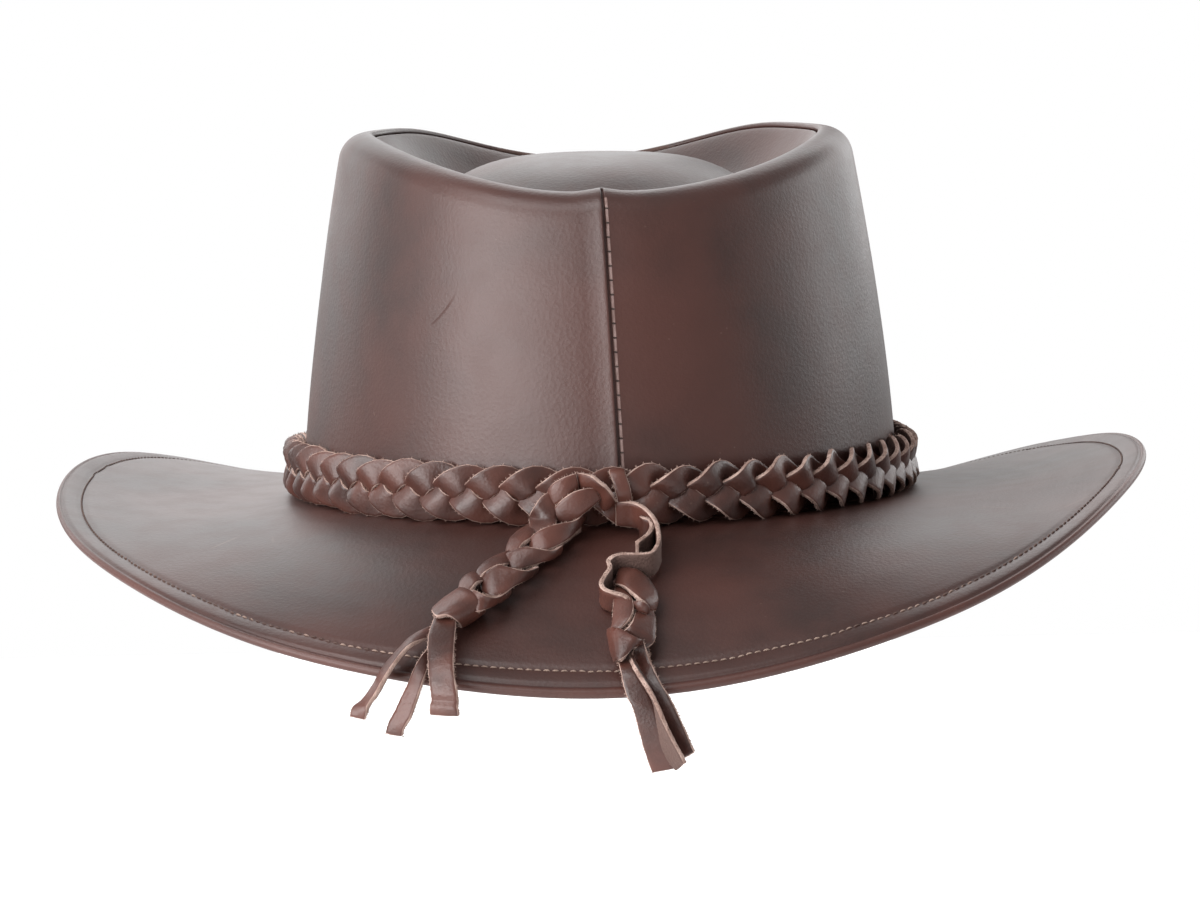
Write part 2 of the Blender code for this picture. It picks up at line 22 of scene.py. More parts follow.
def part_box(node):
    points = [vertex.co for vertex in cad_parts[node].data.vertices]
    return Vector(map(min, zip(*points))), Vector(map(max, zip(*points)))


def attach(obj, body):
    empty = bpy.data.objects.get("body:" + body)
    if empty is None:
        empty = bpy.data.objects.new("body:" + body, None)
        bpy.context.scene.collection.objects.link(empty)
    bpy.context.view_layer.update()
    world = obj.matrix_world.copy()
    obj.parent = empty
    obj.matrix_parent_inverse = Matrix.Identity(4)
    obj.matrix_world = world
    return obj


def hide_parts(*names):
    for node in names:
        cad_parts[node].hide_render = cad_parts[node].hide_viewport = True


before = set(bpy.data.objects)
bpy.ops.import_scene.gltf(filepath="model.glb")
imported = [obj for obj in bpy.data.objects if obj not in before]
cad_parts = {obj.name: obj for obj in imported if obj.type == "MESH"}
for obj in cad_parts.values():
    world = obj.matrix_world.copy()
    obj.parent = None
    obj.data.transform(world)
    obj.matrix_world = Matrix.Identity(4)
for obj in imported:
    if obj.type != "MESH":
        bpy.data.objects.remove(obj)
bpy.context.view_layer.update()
print("nodes", sorted(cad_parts))

# %% [markdown]
# ## Camera
# The hat is seen from behind, a little from above, with a long lens from about one and a half metres
# away. The camera's place is worked out from two angles and a distance, as on a tripod, and it leans
# by less than a degree, as the picture does. Aiming low keeps the lens unshifted.

# %% Place the camera
SEEN_FROM_LEFT = 2.948          # degrees off the hat's back, towards its left side
SEEN_FROM_ABOVE = 4.661
CAMERA_DISTANCE = 1.4513
CAMERA_TARGET = Vector((0.0, 0.0, 0.03))
AIM_BELOW_TARGET = 0.0187
CAMERA_LEAN = -0.875            # degrees
LENS = 151.4                    # millimetres, on a 36 mm sensor


def towards(azimuth, elevation):
    """The level-and-up direction at angles in degrees: 0 is the hat's back, 90 its left."""
    a, e = math.radians(azimuth), math.radians(elevation)
    return Vector((math.sin(a) * math.cos(e), math.cos(a) * math.cos(e), math.sin(e)))


def deselect():
    """Nothing is selected, so that the next operator acts only on what it is given."""
    bpy.ops.object.select_all(action="DESELECT")


deselect()
eye = CAMERA_TARGET + towards(SEEN_FROM_LEFT, SEEN_FROM_ABOVE) * CAMERA_DISTANCE
bpy.ops.object.camera_add(location=eye)
camera = bpy.context.object
camera.data.lens = LENS
look = CAMERA_TARGET - Vector((0.0, 0.0, AIM_BELOW_TARGET)) - eye
turn = look.to_track_quat("-Z", "Y").to_matrix()
camera.rotation_euler = (turn @ camera.rotation_euler.to_matrix()).to_euler()
camera.rotation_euler.rotate_axis("Z", math.radians(CAMERA_LEAN))
bpy.context.scene.camera = camera
print("camera", [round(c, 3) for c in eye])

# %% [markdown]
# ## Light and floor
# The sheen on oiled leather is mostly a picture of the lamps. Soft boxes stand in a ring: bright ones
# on the left front, so that half of the crown glows up to the seam, while the other half mirrors the
# dim room. Weaker ones on both sides draw the pale outlines, and those behind light the wings of the
# brim. The room is white where the camera sees it and dimmer for the leather.

# %% Set up the studio
FLOOR_HEIGHT = -0.22
FLOOR_SIZE = 2.6
ROOM_LEVEL = 0.42
FLOOR_GREY = 0.86
FLOOR_GLOW = 0.25
BOX_AWAY, BOX_SIZE = 2.0, 1.0   # each box is square and stands this far off
BOXES = {
    # degrees round from the hat's back towards its left, degrees up, brightness
    "left_front": (36, 12, 6.2),
    "left_front_high": (32, 55, 3.4),
    "left": (64, 14, 7.4),
    "left_high": (64, 50, 4.2),
    "left_side": (98, 16, 1.0),
    "left_behind": (138, 16, 1.8),
    "behind": (172, 14, 1.3),
    "behind_high": (160, 42, 1.8),
    "behind_high_right": (-168, 38, 2.0),
    "right_behind": (-146, 16, 2.2),
    "right_side": (-112, 16, 3.0),
    "right": (-82, 16, 0.6),
}


def soft_box(name, azimuth, up, level):
    """A glowing panel turned to the hat, with its brightness given as what a mirror would show."""
    way = towards(azimuth, up)
    bpy.ops.object.light_add(type="AREA", location=way * BOX_AWAY)
    lamp = bpy.context.object
    lamp.name = f"box_{name}"
    lamp.rotation_euler = way.to_track_quat("Z", "Y").to_euler()
    lamp.data.shape = "SQUARE"
    lamp.data.size = BOX_SIZE
    lamp.data.energy = level * math.pi * BOX_SIZE ** 2
    lamp.visible_camera = False
    return lamp


deselect()
for name, (azimuth, up, level) in BOXES.items():
    soft_box(name, azimuth, up, level)

world = bpy.data.worlds.new("studio")
world.use_nodes = True
bpy.context.scene.world = world
nodes, links = world.node_tree.nodes, world.node_tree.links
seen = nodes.new("ShaderNodeLightPath")
strength = nodes.new("ShaderNodeMapRange")
strength.inputs["To Min"].default_value = ROOM_LEVEL
strength.inputs["To Max"].default_value = 1.0
links.new(seen.outputs["Is Camera Ray"], strength.inputs["Value"])
links.new(strength.outputs["Result"], nodes["Background"].inputs["Strength"])
nodes["Background"].inputs["Color"].default_value = (1.0, 1.0, 1.0, 1.0)
bpy.context.scene.view_settings.view_transform = "Standard"

bpy.ops.mesh.primitive_plane_add(size=FLOOR_SIZE, location=(0.0, 0.0, FLOOR_HEIGHT))
floor = bpy.context.object
floor.name = "floor"
floor_paint = bpy.data.materials.new("floor_paint")
floor_paint.use_nodes = True
paint = floor_paint.node_tree.nodes["Principled BSDF"]
paint.inputs["Base Color"].default_value = (FLOOR_GREY, FLOOR_GREY, FLOOR_GREY, 1.0)
paint.inputs["Roughness"].default_value = 0.9
paint.inputs["Emission Color"].default_value = (1.0, 1.0, 1.0, 1.0)
paint.inputs["Emission Strength"].default_value = FLOOR_GLOW
floor.data.materials.append(floor_paint)
print("soft boxes", len(BOXES))

# %% [markdown]
# ## Effects that several finishes share
# Every leather here has fine pores, a colour that shifts where the oil has moved under pressure, and
# a few specks and scratches. Each effect is built once as a node group, with its inputs named, and
# each finish sets its own amounts.

# %% Node groups
def new_group(name, inputs, outputs):
    """An empty group with named number inputs and named outputs."""
    group = bpy.data.node_groups.new(name, "ShaderNodeTree")
    group.interface.new_socket("Vector", in_out="INPUT", socket_type="NodeSocketVector")
    for label, value in inputs.items():
        socket = group.interface.new_socket(label, in_out="INPUT", socket_type="NodeSocketFloat")
        socket.default_value = value
    for label in outputs:
        group.interface.new_socket(label, in_out="OUTPUT", socket_type="NodeSocketFloat")
    return group, group.nodes.new("NodeGroupInput"), group.nodes.new("NodeGroupOutput")


def add_noise(tree, where, scale, detail=3.0, roughness=0.55):
    """A noise texture read at a vector socket. Its scale may be a number or a socket."""
    noise = tree.nodes.new("ShaderNodeTexNoise")
    tree.links.new(where, noise.inputs["Vector"])
    put(tree, scale, noise.inputs["Scale"])
    noise.inputs["Detail"].default_value = detail
    noise.inputs["Roughness"].default_value = roughness
    return noise.outputs["Fac"]


def put(tree, value, socket):
    """A number is set on the socket, and another node's output is linked to it."""
    if isinstance(value, bpy.types.NodeSocket):
        tree.links.new(value, socket)
    else:
        socket.default_value = value


def add_math(tree, operation, first, second):
    """One sum between two numbers or sockets."""
    node = tree.nodes.new("ShaderNodeMath")
    node.operation = operation
    put(tree, first, node.inputs[0])
    put(tree, second, node.inputs[1])
    return node.outputs[0]


def add_range(tree, value, low, high, to_low=0.0, to_high=1.0):
    """A value's stretch between two levels, as a soft step."""
    node = tree.nodes.new("ShaderNodeMapRange")
    node.interpolation_type = "SMOOTHSTEP"
    put(tree, value, node.inputs["Value"])
    for label, number in zip(("From Min", "From Max", "To Min", "To Max"), (low, high, to_low, to_high)):
        put(tree, number, node.inputs[label])
    return node.outputs["Result"]


def build_grain():
    """Height of the hair side: small cells between creases, and finer pores."""
    group, into, out = new_group("hide_grain", {"Cells": 900.0, "Pores": 2600.0}, ["Height"])
    cells = group.nodes.new("ShaderNodeTexVoronoi")
    cells.feature = "F1"
    group.links.new(into.outputs["Vector"], cells.inputs["Vector"])
    group.links.new(into.outputs["Cells"], cells.inputs["Scale"])
    pores = add_noise(group, into.outputs["Vector"], into.outputs["Pores"], 2.0)
    height = add_math(group, "ADD", cells.outputs["Distance"], pores)
    group.links.new(height, out.inputs["Height"])
    return group


def build_shift():
    """Colour shift of an oiled hide: wide clouds, and finer mottling inside them."""
    group, into, out = new_group("oil_shift", {"Clouds": 14.0, "Mottle": 90.0}, ["Cloud", "Mottle"])
    clouds = add_noise(group, into.outputs["Vector"], into.outputs["Clouds"], 3.0)
    mottle = add_noise(group, into.outputs["Vector"], into.outputs["Mottle"], 4.0, 0.65)
    group.links.new(add_range(group, clouds, 0.35, 0.68), out.inputs["Cloud"])
    group.links.new(add_range(group, mottle, 0.35, 0.70), out.inputs["Mottle"])
    return group


def build_wear():
    """Masks of light specks and of long thin scratches."""
    group, into, out = new_group("small_wear", {"Specks": 420.0, "Scratches": 26.0}, ["Speck", "Scratch"])
    specks = group.nodes.new("ShaderNodeTexVoronoi")
    group.links.new(into.outputs["Vector"], specks.inputs["Vector"])
    group.links.new(into.outputs["Specks"], specks.inputs["Scale"])
    near = add_range(group, specks.outputs["Distance"], 0.06, 0.16, 1.0, 0.0)
    patch = add_range(group, add_noise(group, into.outputs["Vector"], 60.0, 2.0), 0.56, 0.70)
    group.links.new(add_math(group, "MULTIPLY", near, patch), out.inputs["Speck"])
    stretch = group.nodes.new("ShaderNodeMapping")
    stretch.inputs["Rotation"].default_value = (0.3, 0.9, 0.5)
    stretch.inputs["Scale"].default_value = (1.0, 1.0, 0.08)
    group.links.new(into.outputs["Vector"], stretch.inputs["Vector"])
    lines = group.nodes.new("ShaderNodeTexVoronoi")
    lines.feature = "DISTANCE_TO_EDGE"
    group.links.new(stretch.outputs["Vector"], lines.inputs["Vector"])
    group.links.new(into.outputs["Scratches"], lines.inputs["Scale"])
    thin = add_range(group, lines.outputs["Distance"], 0.0, 0.010, 1.0, 0.0)
    some = add_range(group, add_noise(group, into.outputs["Vector"], 21.0, 1.0), 0.66, 0.74)
    group.links.new(add_math(group, "MULTIPLY", thin, some), out.inputs["Scratch"])
    return group


GRAIN = build_grain()
SHIFT = build_shift()
WEAR = build_wear()
print("groups", [group.name for group in (GRAIN, SHIFT, WEAR)])

# %% [markdown]
# ## Leather finishes
# Oiled leather is dark where it is thick with oil and shows a warmer red where the oil has drawn
# back, so the colour mixes two browns by the shift group. The sheen is satin: a middling roughness,
# varied by the finer mottling. The first helpers place a group, mix two colours and measure along a
# direction.

# %% Material helpers
def add_group(tree, group, where, **amounts):
    """One use of a shared group, with this finish's own amounts."""
    node = tree.nodes.new("ShaderNodeGroup")
    node.node_tree = group
    tree.links.new(where, node.inputs["Vector"])
    for label, value in amounts.items():
        node.inputs[label].default_value = value
    return node.outputs


def add_mix(tree, amount, first, second):
    """A colour between two, by an amount."""
    node = tree.nodes.new("ShaderNodeMix")
    node.data_type = "RGBA"
    put(tree, amount, node.inputs["Factor"])
    for colour, socket in ((first, node.inputs["A"]), (second, node.inputs["B"])):
        put(tree, (*colour, 1.0) if isinstance(colour, tuple) else colour, socket)
    return node.outputs["Result"]


def add_dot(tree, where, way):
    """How far a place lies along a fixed direction."""
    node = tree.nodes.new("ShaderNodeVectorMath")
    node.operation = "DOT_PRODUCT"
    tree.links.new(where, node.inputs[0])
    node.inputs[1].default_value = way
    return node.outputs["Value"]


# %% [markdown]
# One longer scratch breaks the sheen at the crown's back left. Its mask is worked out from the place
# alone: how far along the scratch a point lies, and how far beside its bow.

# %% The long scratch
SCRATCH_START = Vector((0.0495, 0.0, 0.0534))
SCRATCH_END = Vector((0.0428, 0.0, 0.0620))
SCRATCH_BOW = -0.0005
SCRATCH_HALF = 0.00048          # half its width
SCRATCH_STARTS = (0.0, 0.08)    # shares of its length over which it comes in
SCRATCH_FADES = (0.6, 1.1)
BACK_FROM = (0.0, 0.01)         # the mask ends between these depths, so the front stays whole


def scratch_mask(tree, where):
    """Mask of one bowed scratch in the hat's back, which fades at its far end."""
    begin = SCRATCH_START
    way = SCRATCH_END - begin
    length = way.length
    way.normalize()
    square = Vector((way.z, 0.0, -way.x))
    along = add_math(tree, "SUBTRACT", add_dot(tree, where, way), begin.dot(way))
    across = add_math(tree, "SUBTRACT", add_dot(tree, where, square), begin.dot(square))
    share = add_math(tree, "DIVIDE", along, length)
    left_over = add_math(tree, "SUBTRACT", 1.0, share)
    bend = add_math(tree, "MULTIPLY", add_math(tree, "MULTIPLY", share, left_over), 4.0 * SCRATCH_BOW)
    gap = add_math(tree, "ABSOLUTE", add_math(tree, "SUBTRACT", across, bend), 0.0)
    mask = add_range(tree, gap, 0.0, SCRATCH_HALF, 1.0, 0.0)
    mask = add_math(tree, "MULTIPLY", mask, add_range(tree, share, *SCRATCH_STARTS))
    mask = add_math(tree, "MULTIPLY", mask, add_range(tree, share, *SCRATCH_FADES, 1.0, 0.0))
    behind = add_range(tree, add_dot(tree, where, (0.0, 1.0, 0.0)), *BACK_FROM)
    return add_math(tree, "MULTIPLY", mask, behind)


print("scratch mm", round(1000 * (SCRATCH_END - SCRATCH_START).length, 1))

# %% [markdown]
# One recipe makes every leather, with its own browns and amounts. The raw cut of a lace is pale and
# fuzzy, and the flesh side that the wearer sees inside is matt, lighter and nappy. A sheen on the
# shader gives that nap.

# %% Leather materials
MOTTLE_AMOUNT = 0.35            # how far the mottling pulls the colour to the warm brown
SPECK_AMOUNT = 0.6              # a speck is fainter than a scratch
MARK_AMOUNT = 0.22              # how pale specks and scratches get
SATIN_SPREAD = (-0.012, 0.018)  # change of roughness between the mottling's dark and light
TORN_ROUGHNESS = 0.35           # the long scratch is duller than the hide round it
TORN_DEPTH = 1.7                # and cut into it, against a grain of height one
RELIEF_HEIGHT = 0.0002
SHEEN_ROUGHNESS = 0.45


def leather(name, deep, warm, pale, rough, bump, cells=900.0, clouds=14.0, nap=0.0, scratched=False):
    """A hide: two browns by the oil's shift, pale specks and scratches, fine grain and satin sheen."""
    material = bpy.data.materials.new(name)
    material.use_nodes = True
    tree = material.node_tree
    shader = tree.nodes["Principled BSDF"]
    where = tree.nodes.new("ShaderNodeTexCoord").outputs["Object"]
    shift = add_group(tree, SHIFT, where, Clouds=clouds)
    wear = add_group(tree, WEAR, where)
    grain = add_group(tree, GRAIN, where, Cells=cells)
    colour = add_mix(tree, shift["Cloud"], deep, warm)
    colour = add_mix(tree, add_math(tree, "MULTIPLY", shift["Mottle"], MOTTLE_AMOUNT), colour, warm)
    specks = add_math(tree, "MULTIPLY", wear["Speck"], SPECK_AMOUNT)
    marks = add_math(tree, "MAXIMUM", wear["Scratch"], specks)
    colour = add_mix(tree, add_math(tree, "MULTIPLY", marks, MARK_AMOUNT), colour, pale)
    tree.links.new(colour, shader.inputs["Base Color"])
    low, high = [rough + change for change in SATIN_SPREAD]
    satin = add_range(tree, shift["Mottle"], 0.0, 1.0, low, high)
    height = grain["Height"]
    if scratched:
        torn = scratch_mask(tree, where)
        satin = add_math(tree, "ADD", satin, add_math(tree, "MULTIPLY", torn, TORN_ROUGHNESS))
        height = add_math(tree, "SUBTRACT", height, add_math(tree, "MULTIPLY", torn, TORN_DEPTH))
    tree.links.new(satin, shader.inputs["Roughness"])
    shader.inputs["Specular IOR Level"].default_value = 0.5
    shader.inputs["Sheen Weight"].default_value = nap
    shader.inputs["Sheen Roughness"].default_value = SHEEN_ROUGHNESS
    shader.inputs["Sheen Tint"].default_value = (*pale, 1.0)
    relief = tree.nodes.new("ShaderNodeBump")
    relief.inputs["Strength"].default_value = bump
    relief.inputs["Distance"].default_value = RELIEF_HEIGHT
    tree.links.new(height, relief.inputs["Height"])
    tree.links.new(relief.outputs["Normal"], shader.inputs["Normal"])
    return material


DEEP_BROWN = (0.027, 0.0118, 0.0098)
WARM_BROWN = (0.060, 0.0205, 0.0153)
PALE_BROWN = (0.30, 0.20, 0.165)
FLESH_DEEP = (0.070, 0.039, 0.032)
FLESH_WARM = (0.110, 0.062, 0.051)
RAW_DEEP = (0.21, 0.125, 0.100)
RAW_PALE = (0.44, 0.31, 0.265)
CUT_GRAIN = {"cells": 2400.0, "clouds": 240.0}
crown_hide = leather("crown_hide", DEEP_BROWN, WARM_BROWN, PALE_BROWN, 0.40, 0.20, scratched=True)
# The rolled edge: browns warmer and lighter than the brim's, a painted highlight along the roll.
rolled_edge_painted_highlight = leather("rolled_edge_painted_highlight", (0.052, 0.0185, 0.0140), (0.080, 0.0270, 0.0200), PALE_BROWN, 0.44, 0.20)
brim_hide = leather("brim_hide", DEEP_BROWN, WARM_BROWN, PALE_BROWN, 0.41, 0.20)
flesh_side = leather("flesh_side", FLESH_DEEP, FLESH_WARM, RAW_PALE, 0.85, 0.8, cells=1500.0, nap=0.10)
lace_face = leather("lace_face", (0.040, 0.0155, 0.0120), (0.098, 0.034, 0.024), PALE_BROWN, 0.36, 0.25,
                    cells=1100.0, clouds=45.0)
raw_edge = leather("raw_edge", RAW_DEEP, RAW_PALE, RAW_PALE, 0.9, 0.9, nap=0.3, **CUT_GRAIN)
# The pale strip by the crown's seam: a cut edge's colour, and partly a painted highlight on its rounded
# edge.
seam_cut_and_highlight = leather("seam_cut_and_highlight", (0.16, 0.095, 0.082), (0.24, 0.16, 0.145), RAW_PALE, 0.55, 0.5, **CUT_GRAIN)
LEATHERS = (crown_hide, rolled_edge_painted_highlight, brim_hide, flesh_side, lace_face, raw_edge, seam_cut_and_highlight)
print("leathers", [material.name for material in LEATHERS])

# %% [markdown]
# ## Helpers for working on one piece
# A smooth hide is made from its solid: the solid's loose triangles are merged and paired into
# quads, and subdivision rounds the facets. Small helpers apply modifiers, read and move vertices,
# paint faces, and hand a finished piece over with its body and the solid it stands for.

# %% Piece helpers
HIDE_LEVELS = 2                 # how often a hide's solid is subdivided
SAME_SPOT = 0.00002             # vertices nearer than this are one
FLAT_ANGLE = math.radians(50)   # triangles flatter than this may pair up into a quad
QUAD_SKEW = math.radians(60)


def only(piece):
    """This piece alone is selected and active."""
    deselect()
    piece.select_set(True)
    bpy.context.view_layer.objects.active = piece


def apply_modifier(piece, kind, **settings):
    """Adds one modifier, sets it and applies it."""
    modifier = piece.modifiers.new(kind.lower(), kind)
    for label, value in settings.items():
        setattr(modifier, label, value)
    only(piece)
    bpy.ops.object.modifier_apply(modifier=modifier.name)


def round_off(piece):
    """Subdivision, the same in view and render."""
    apply_modifier(piece, "SUBSURF", levels=HIDE_LEVELS, render_levels=HIDE_LEVELS)


def merge_doubles(piece, threshold):
    """Merges vertices that lie together and leaves the piece in edit mode."""
    only(piece)
    bpy.ops.object.mode_set(mode="EDIT")
    bpy.ops.mesh.select_all(action="SELECT")
    bpy.ops.mesh.remove_doubles(threshold=threshold)


def copy_of(node, name):
    """A merged copy of a solid, in quads, ready to be worked on."""
    piece = bpy.data.objects.new(name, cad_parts[node].data.copy())
    bpy.context.scene.collection.objects.link(piece)
    piece.data.materials.clear()
    merge_doubles(piece, SAME_SPOT)
    bpy.ops.mesh.tris_convert_to_quads(face_threshold=FLAT_ANGLE, shape_threshold=QUAD_SKEW)
    bpy.ops.object.mode_set(mode="OBJECT")
    bpy.ops.mesh.customdata_custom_splitnormals_clear()
    return piece


def places(piece):
    """The vertices' places and normals as arrays."""
    mesh = piece.data
    spots = np.empty(len(mesh.vertices) * 3)
    normals = np.empty(len(mesh.vertices) * 3)
    mesh.vertices.foreach_get("co", spots)
    mesh.vertex_normals.foreach_get("vector", normals)
    return spots.reshape(-1, 3), normals.reshape(-1, 3)


def set_places(piece, spots):
    """Moves the vertices to new places."""
    piece.data.vertices.foreach_set("co", np.ascontiguousarray(spots, dtype=np.float32).ravel())
    piece.data.update()


def unit(vectors):
    """The vectors at length one."""
    return vectors / np.linalg.norm(vectors, axis=1)[:, None]


def ramp(values, start, width):
    """From 0 at a start to 1 a width farther on. A negative width counts downwards."""
    return np.clip((values - start) / width, 0.0, 1.0)


def surface_of(piece):
    """A piece's surface, for rays to be cast at."""
    mesh = piece.data
    corners = [v.co.copy() for v in mesh.vertices]
    return BVHTree.FromPolygons(corners, [tuple(p.vertices) for p in mesh.polygons])


def faces_of(piece):
    """The faces' middles and normals as arrays."""
    mesh = piece.data
    middles = np.empty(len(mesh.polygons) * 3)
    normals = np.empty(len(mesh.polygons) * 3)
    mesh.polygons.foreach_get("center", middles)
    mesh.polygons.foreach_get("normal", normals)
    return middles.reshape(-1, 3), normals.reshape(-1, 3)


def paint_faces(piece, chosen, material=1):
    """The chosen faces take one of the piece's other materials."""
    index = np.zeros(len(chosen), dtype=np.int32)
    piece.data.polygons.foreach_get("material_index", index)
    piece.data.polygons.foreach_set("material_index", np.where(chosen, material, index))
    piece.data.update()
    print(piece.name, "faces of", piece.data.materials[material].name, int(chosen.sum()), "of", len(chosen))


def hand_over(piece, slot, *stands_for):
    """The piece rides on the hat and stands for the solids named. Its slot is not used."""
    piece.data.shade_smooth()
    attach(piece, "root")
    if stands_for:
        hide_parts(*stands_for)
    piece.data.calc_loop_triangles()
    low, high = [Vector(c) for c in (piece.bound_box[0], piece.bound_box[6])]
    size = [round(1000 * side, 1) for side in high - low]
    print(piece.name, "triangles", len(piece.data.loop_triangles), "size mm", size)


# %% [markdown]
# ## Crown side
# The crown's wall is one hide bent round and lapped at the back: the left panel's edge lies over the
# right panel, and a narrow dark crack runs beside it. The copy gets a few straight cuts beside the
# seam before it is rounded, so that the lap and the crack have vertices to stand on.

# %% Cut and round the crown side
SEAM_CUTS = [-0.0030, -0.0016, -0.0010, -0.0006, -0.0003, 0.0004, 0.0009, 0.0018, 0.0032]
SEAM_BAND = 0.012               # half width of the wall's strip that the cuts go through


def cut_at(piece, plane_x):
    """A straight cut through the back wall at one distance from the seam."""
    bpy.ops.object.mode_set(mode="EDIT")
    shape = bmesh.from_edit_mesh(piece.data)
    for face in shape.faces:
        middle = face.calc_center_median()
        face.select_set(middle.y > 0.0 and abs(middle.x) < SEAM_BAND)
    bmesh.update_edit_mesh(piece.data)
    bpy.ops.mesh.bisect(plane_co=(plane_x, 0.0, 0.0), plane_no=(1.0, 0.0, 0.0))
    bpy.ops.object.mode_set(mode="OBJECT")


crown_side = copy_of("crown_side", "crown_side_hide")
only(crown_side)
for plane_x in SEAM_CUTS:
    cut_at(crown_side, plane_x)
round_off(crown_side)
print("crown side vertices", len(crown_side.data.vertices))

# %% [markdown]
# The crack is pressed in along the wall's normals, and the edge of the lap beside it swells a little.
# Then the seam is leaned over as a whole, because on the hat it isn't quite upright. Last, the wall is
# let a little out of true, as hides are: shallow waves under half a millimetre.

# %% Work the seam
SEAM_GROOVE = 0.00080           # depth of the crack beside the lap
GROOVE_OFFSET = -0.00028
GROOVE_WIDTH = 0.00034
LAP_SWELL = 0.0001              # the lap's rounded edge
LAP_SWELL_OFFSET = 0.0011
STRIP_NEAR, STRIP_FAR = 0.00055, 0.00135   # pale strip right of the crack: a cut edge, partly a painted highlight
STRIP_TOP_Z = 0.088
SEAM_LEAN = 0.0036              # how much farther left the seam is at its top
SEAM_FOOT = -0.0006
SEAM_HOLD = 0.030               # distance over which the wall takes the lean
WALL_FOOT_Z, WALL_TOP_Z = 0.0, 0.089
OUT_OF_TRUE = 0.00045
WAVE_LENGTHS = (0.062, 0.081, 0.105, 0.140)
WAVE_SEED = 5
WAVES_FROM_Z, WAVES_TO_Z = 0.012, 0.082   # between the band and the shoulder
WAVES_START, WAVES_STOP = 0.03, 0.02      # height over which they grow and die away
FACES_BACK = 0.2                # a vertex whose normal leans back by this faces the seam's outside

crown_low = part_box("crown_side")[0]
FOOT_HALF_WIDTH = -crown_low.x  # the oval of the crown's foot
FOOT_HALF_DEPTH = -crown_low.y
BACK_CURVE = FOOT_HALF_WIDTH ** 2 / FOOT_HALF_DEPTH


def seam_shift(height):
    """How far left the leaning seam lies at a height."""
    return SEAM_FOOT + SEAM_LEAN * (height - WALL_FOOT_Z) / (WALL_TOP_Z - WALL_FOOT_Z)


def lean_seam(spots):
    """Slides the back wall sideways along its own curve, more towards the top."""
    hold = np.exp(-(spots[:, 0] / SEAM_HOLD) ** 2) * (spots[:, 1] > 0.0)
    moved = spots[:, 0] + seam_shift(spots[:, 2]) * hold
    spots[:, 1] -= (moved ** 2 - spots[:, 0] ** 2) / (2.0 * BACK_CURVE)
    spots[:, 0] = moved
    return spots


def waves(spots, seed, lengths):
    """Smooth waves over space, between about minus and plus one."""
    chance = np.random.default_rng(seed)
    total = np.zeros(len(spots))
    for length in lengths:
        way = chance.normal(size=3)
        way /= np.linalg.norm(way)
        total += np.sin(spots @ way * math.tau / length + chance.uniform(0.0, math.tau))
    return total / len(lengths)


spots, normals = places(crown_side)
before_lean = spots[:, 0].copy()
outside = (normals[:, 1] > FACES_BACK) & (spots[:, 1] > 0.0)
groove = np.exp(-((spots[:, 0] - GROOVE_OFFSET) / GROOVE_WIDTH) ** 2) * outside
swell = np.exp(-((spots[:, 0] - LAP_SWELL_OFFSET) / LAP_SWELL_OFFSET) ** 2) * outside
spots += normals * (swell * LAP_SWELL - groove * SEAM_GROOVE)[:, None]
spots = lean_seam(spots)
heights = spots[:, 2]
amount = ramp(heights, WAVES_FROM_Z, WAVES_START) * ramp(heights, WAVES_TO_Z, -WAVES_STOP)
bulge = waves(spots, WAVE_SEED, WAVE_LENGTHS) * OUT_OF_TRUE * amount
spots += unit(spots * np.array((1.0, 1.0, 0.0))) * bulge[:, None]
# The pale strip right of the crack is painted as a cut edge, and partly as a highlight on its rounded edge.
beside = (before_lean < -STRIP_NEAR) & (before_lean > -STRIP_FAR)
seam_strip_mask = beside & outside & (spots[:, 2] < STRIP_TOP_Z)
set_places(crown_side, spots)
for finish in (crown_hide, flesh_side, seam_cut_and_highlight):
    crown_side.data.materials.append(finish)
hand_over(crown_side, "crown_leather", "crown_side")

# %% [markdown]
# ## Crown top
# The top is a panel of its own, pressed into a low dome with a groove round it and sewn in under the
# wall's lip. Subdivision of its solid gives the pressed form. Its lower edge is then let out under
# the lip, so that the seam is a dark line and not a gap.

# %% Model the crown top
FLANGE_REACH = 0.0016
FLANGE_FROM, FLANGE_GROWS = 0.95, 0.03    # shares of the panel's half width
LEVEL_FROM, LEVEL_FADES = 0.4, 0.6        # how far up a vertex of the flange may face

crown_top = copy_of("crown_top", "crown_top_hide")
round_off(crown_top)
spots, normals = places(crown_top)
off_middle = spots[:, :2] - spots[:, :2].mean(axis=0)
share_out = np.linalg.norm(off_middle / np.abs(off_middle).max(axis=0), axis=1)
flange = ramp(share_out, FLANGE_FROM, FLANGE_GROWS) * ramp(normals[:, 2], LEVEL_FROM, -LEVEL_FADES)
spots[:, :2] += unit(spots[:, :2]) * (FLANGE_REACH * flange)[:, None]
set_places(crown_top, spots)
print("flange vertices", int((flange > 0.5).sum()))
crown_top.data.materials.append(crown_hide)
crown_top.data.materials.append(flesh_side)
hand_over(crown_top, "crown_leather", "crown_top")

# %% [markdown]
# ## Brim
# The brim is one hide, curled at both sides, with a rolled edge and a line of stitches about 8 mm
# inside it. More rows are cut across the brim before it is rounded, so that the pressed channel of
# the stitch line can be real relief.

# %% Model the brim
CROSS_CUTS = 2                  # extra rows in each of the solid's rows
LONG_EDGE = 0.008               # an edge across the brim is longer than this
MOSTLY_OUT = 0.6                # and this share of it runs outwards


def across_brim(edge):
    """Whether an edge of the brim's mesh runs outwards and not round."""
    way = edge.verts[1].co - edge.verts[0].co
    middle = (edge.verts[0].co + edge.verts[1].co) / 2.0
    outward = Vector((middle.x / FOOT_HALF_WIDTH ** 2, middle.y / FOOT_HALF_DEPTH ** 2)).normalized()
    level = Vector((way.x, way.y))
    return way.length > LONG_EDGE and abs(level.dot(outward)) > MOSTLY_OUT * way.length


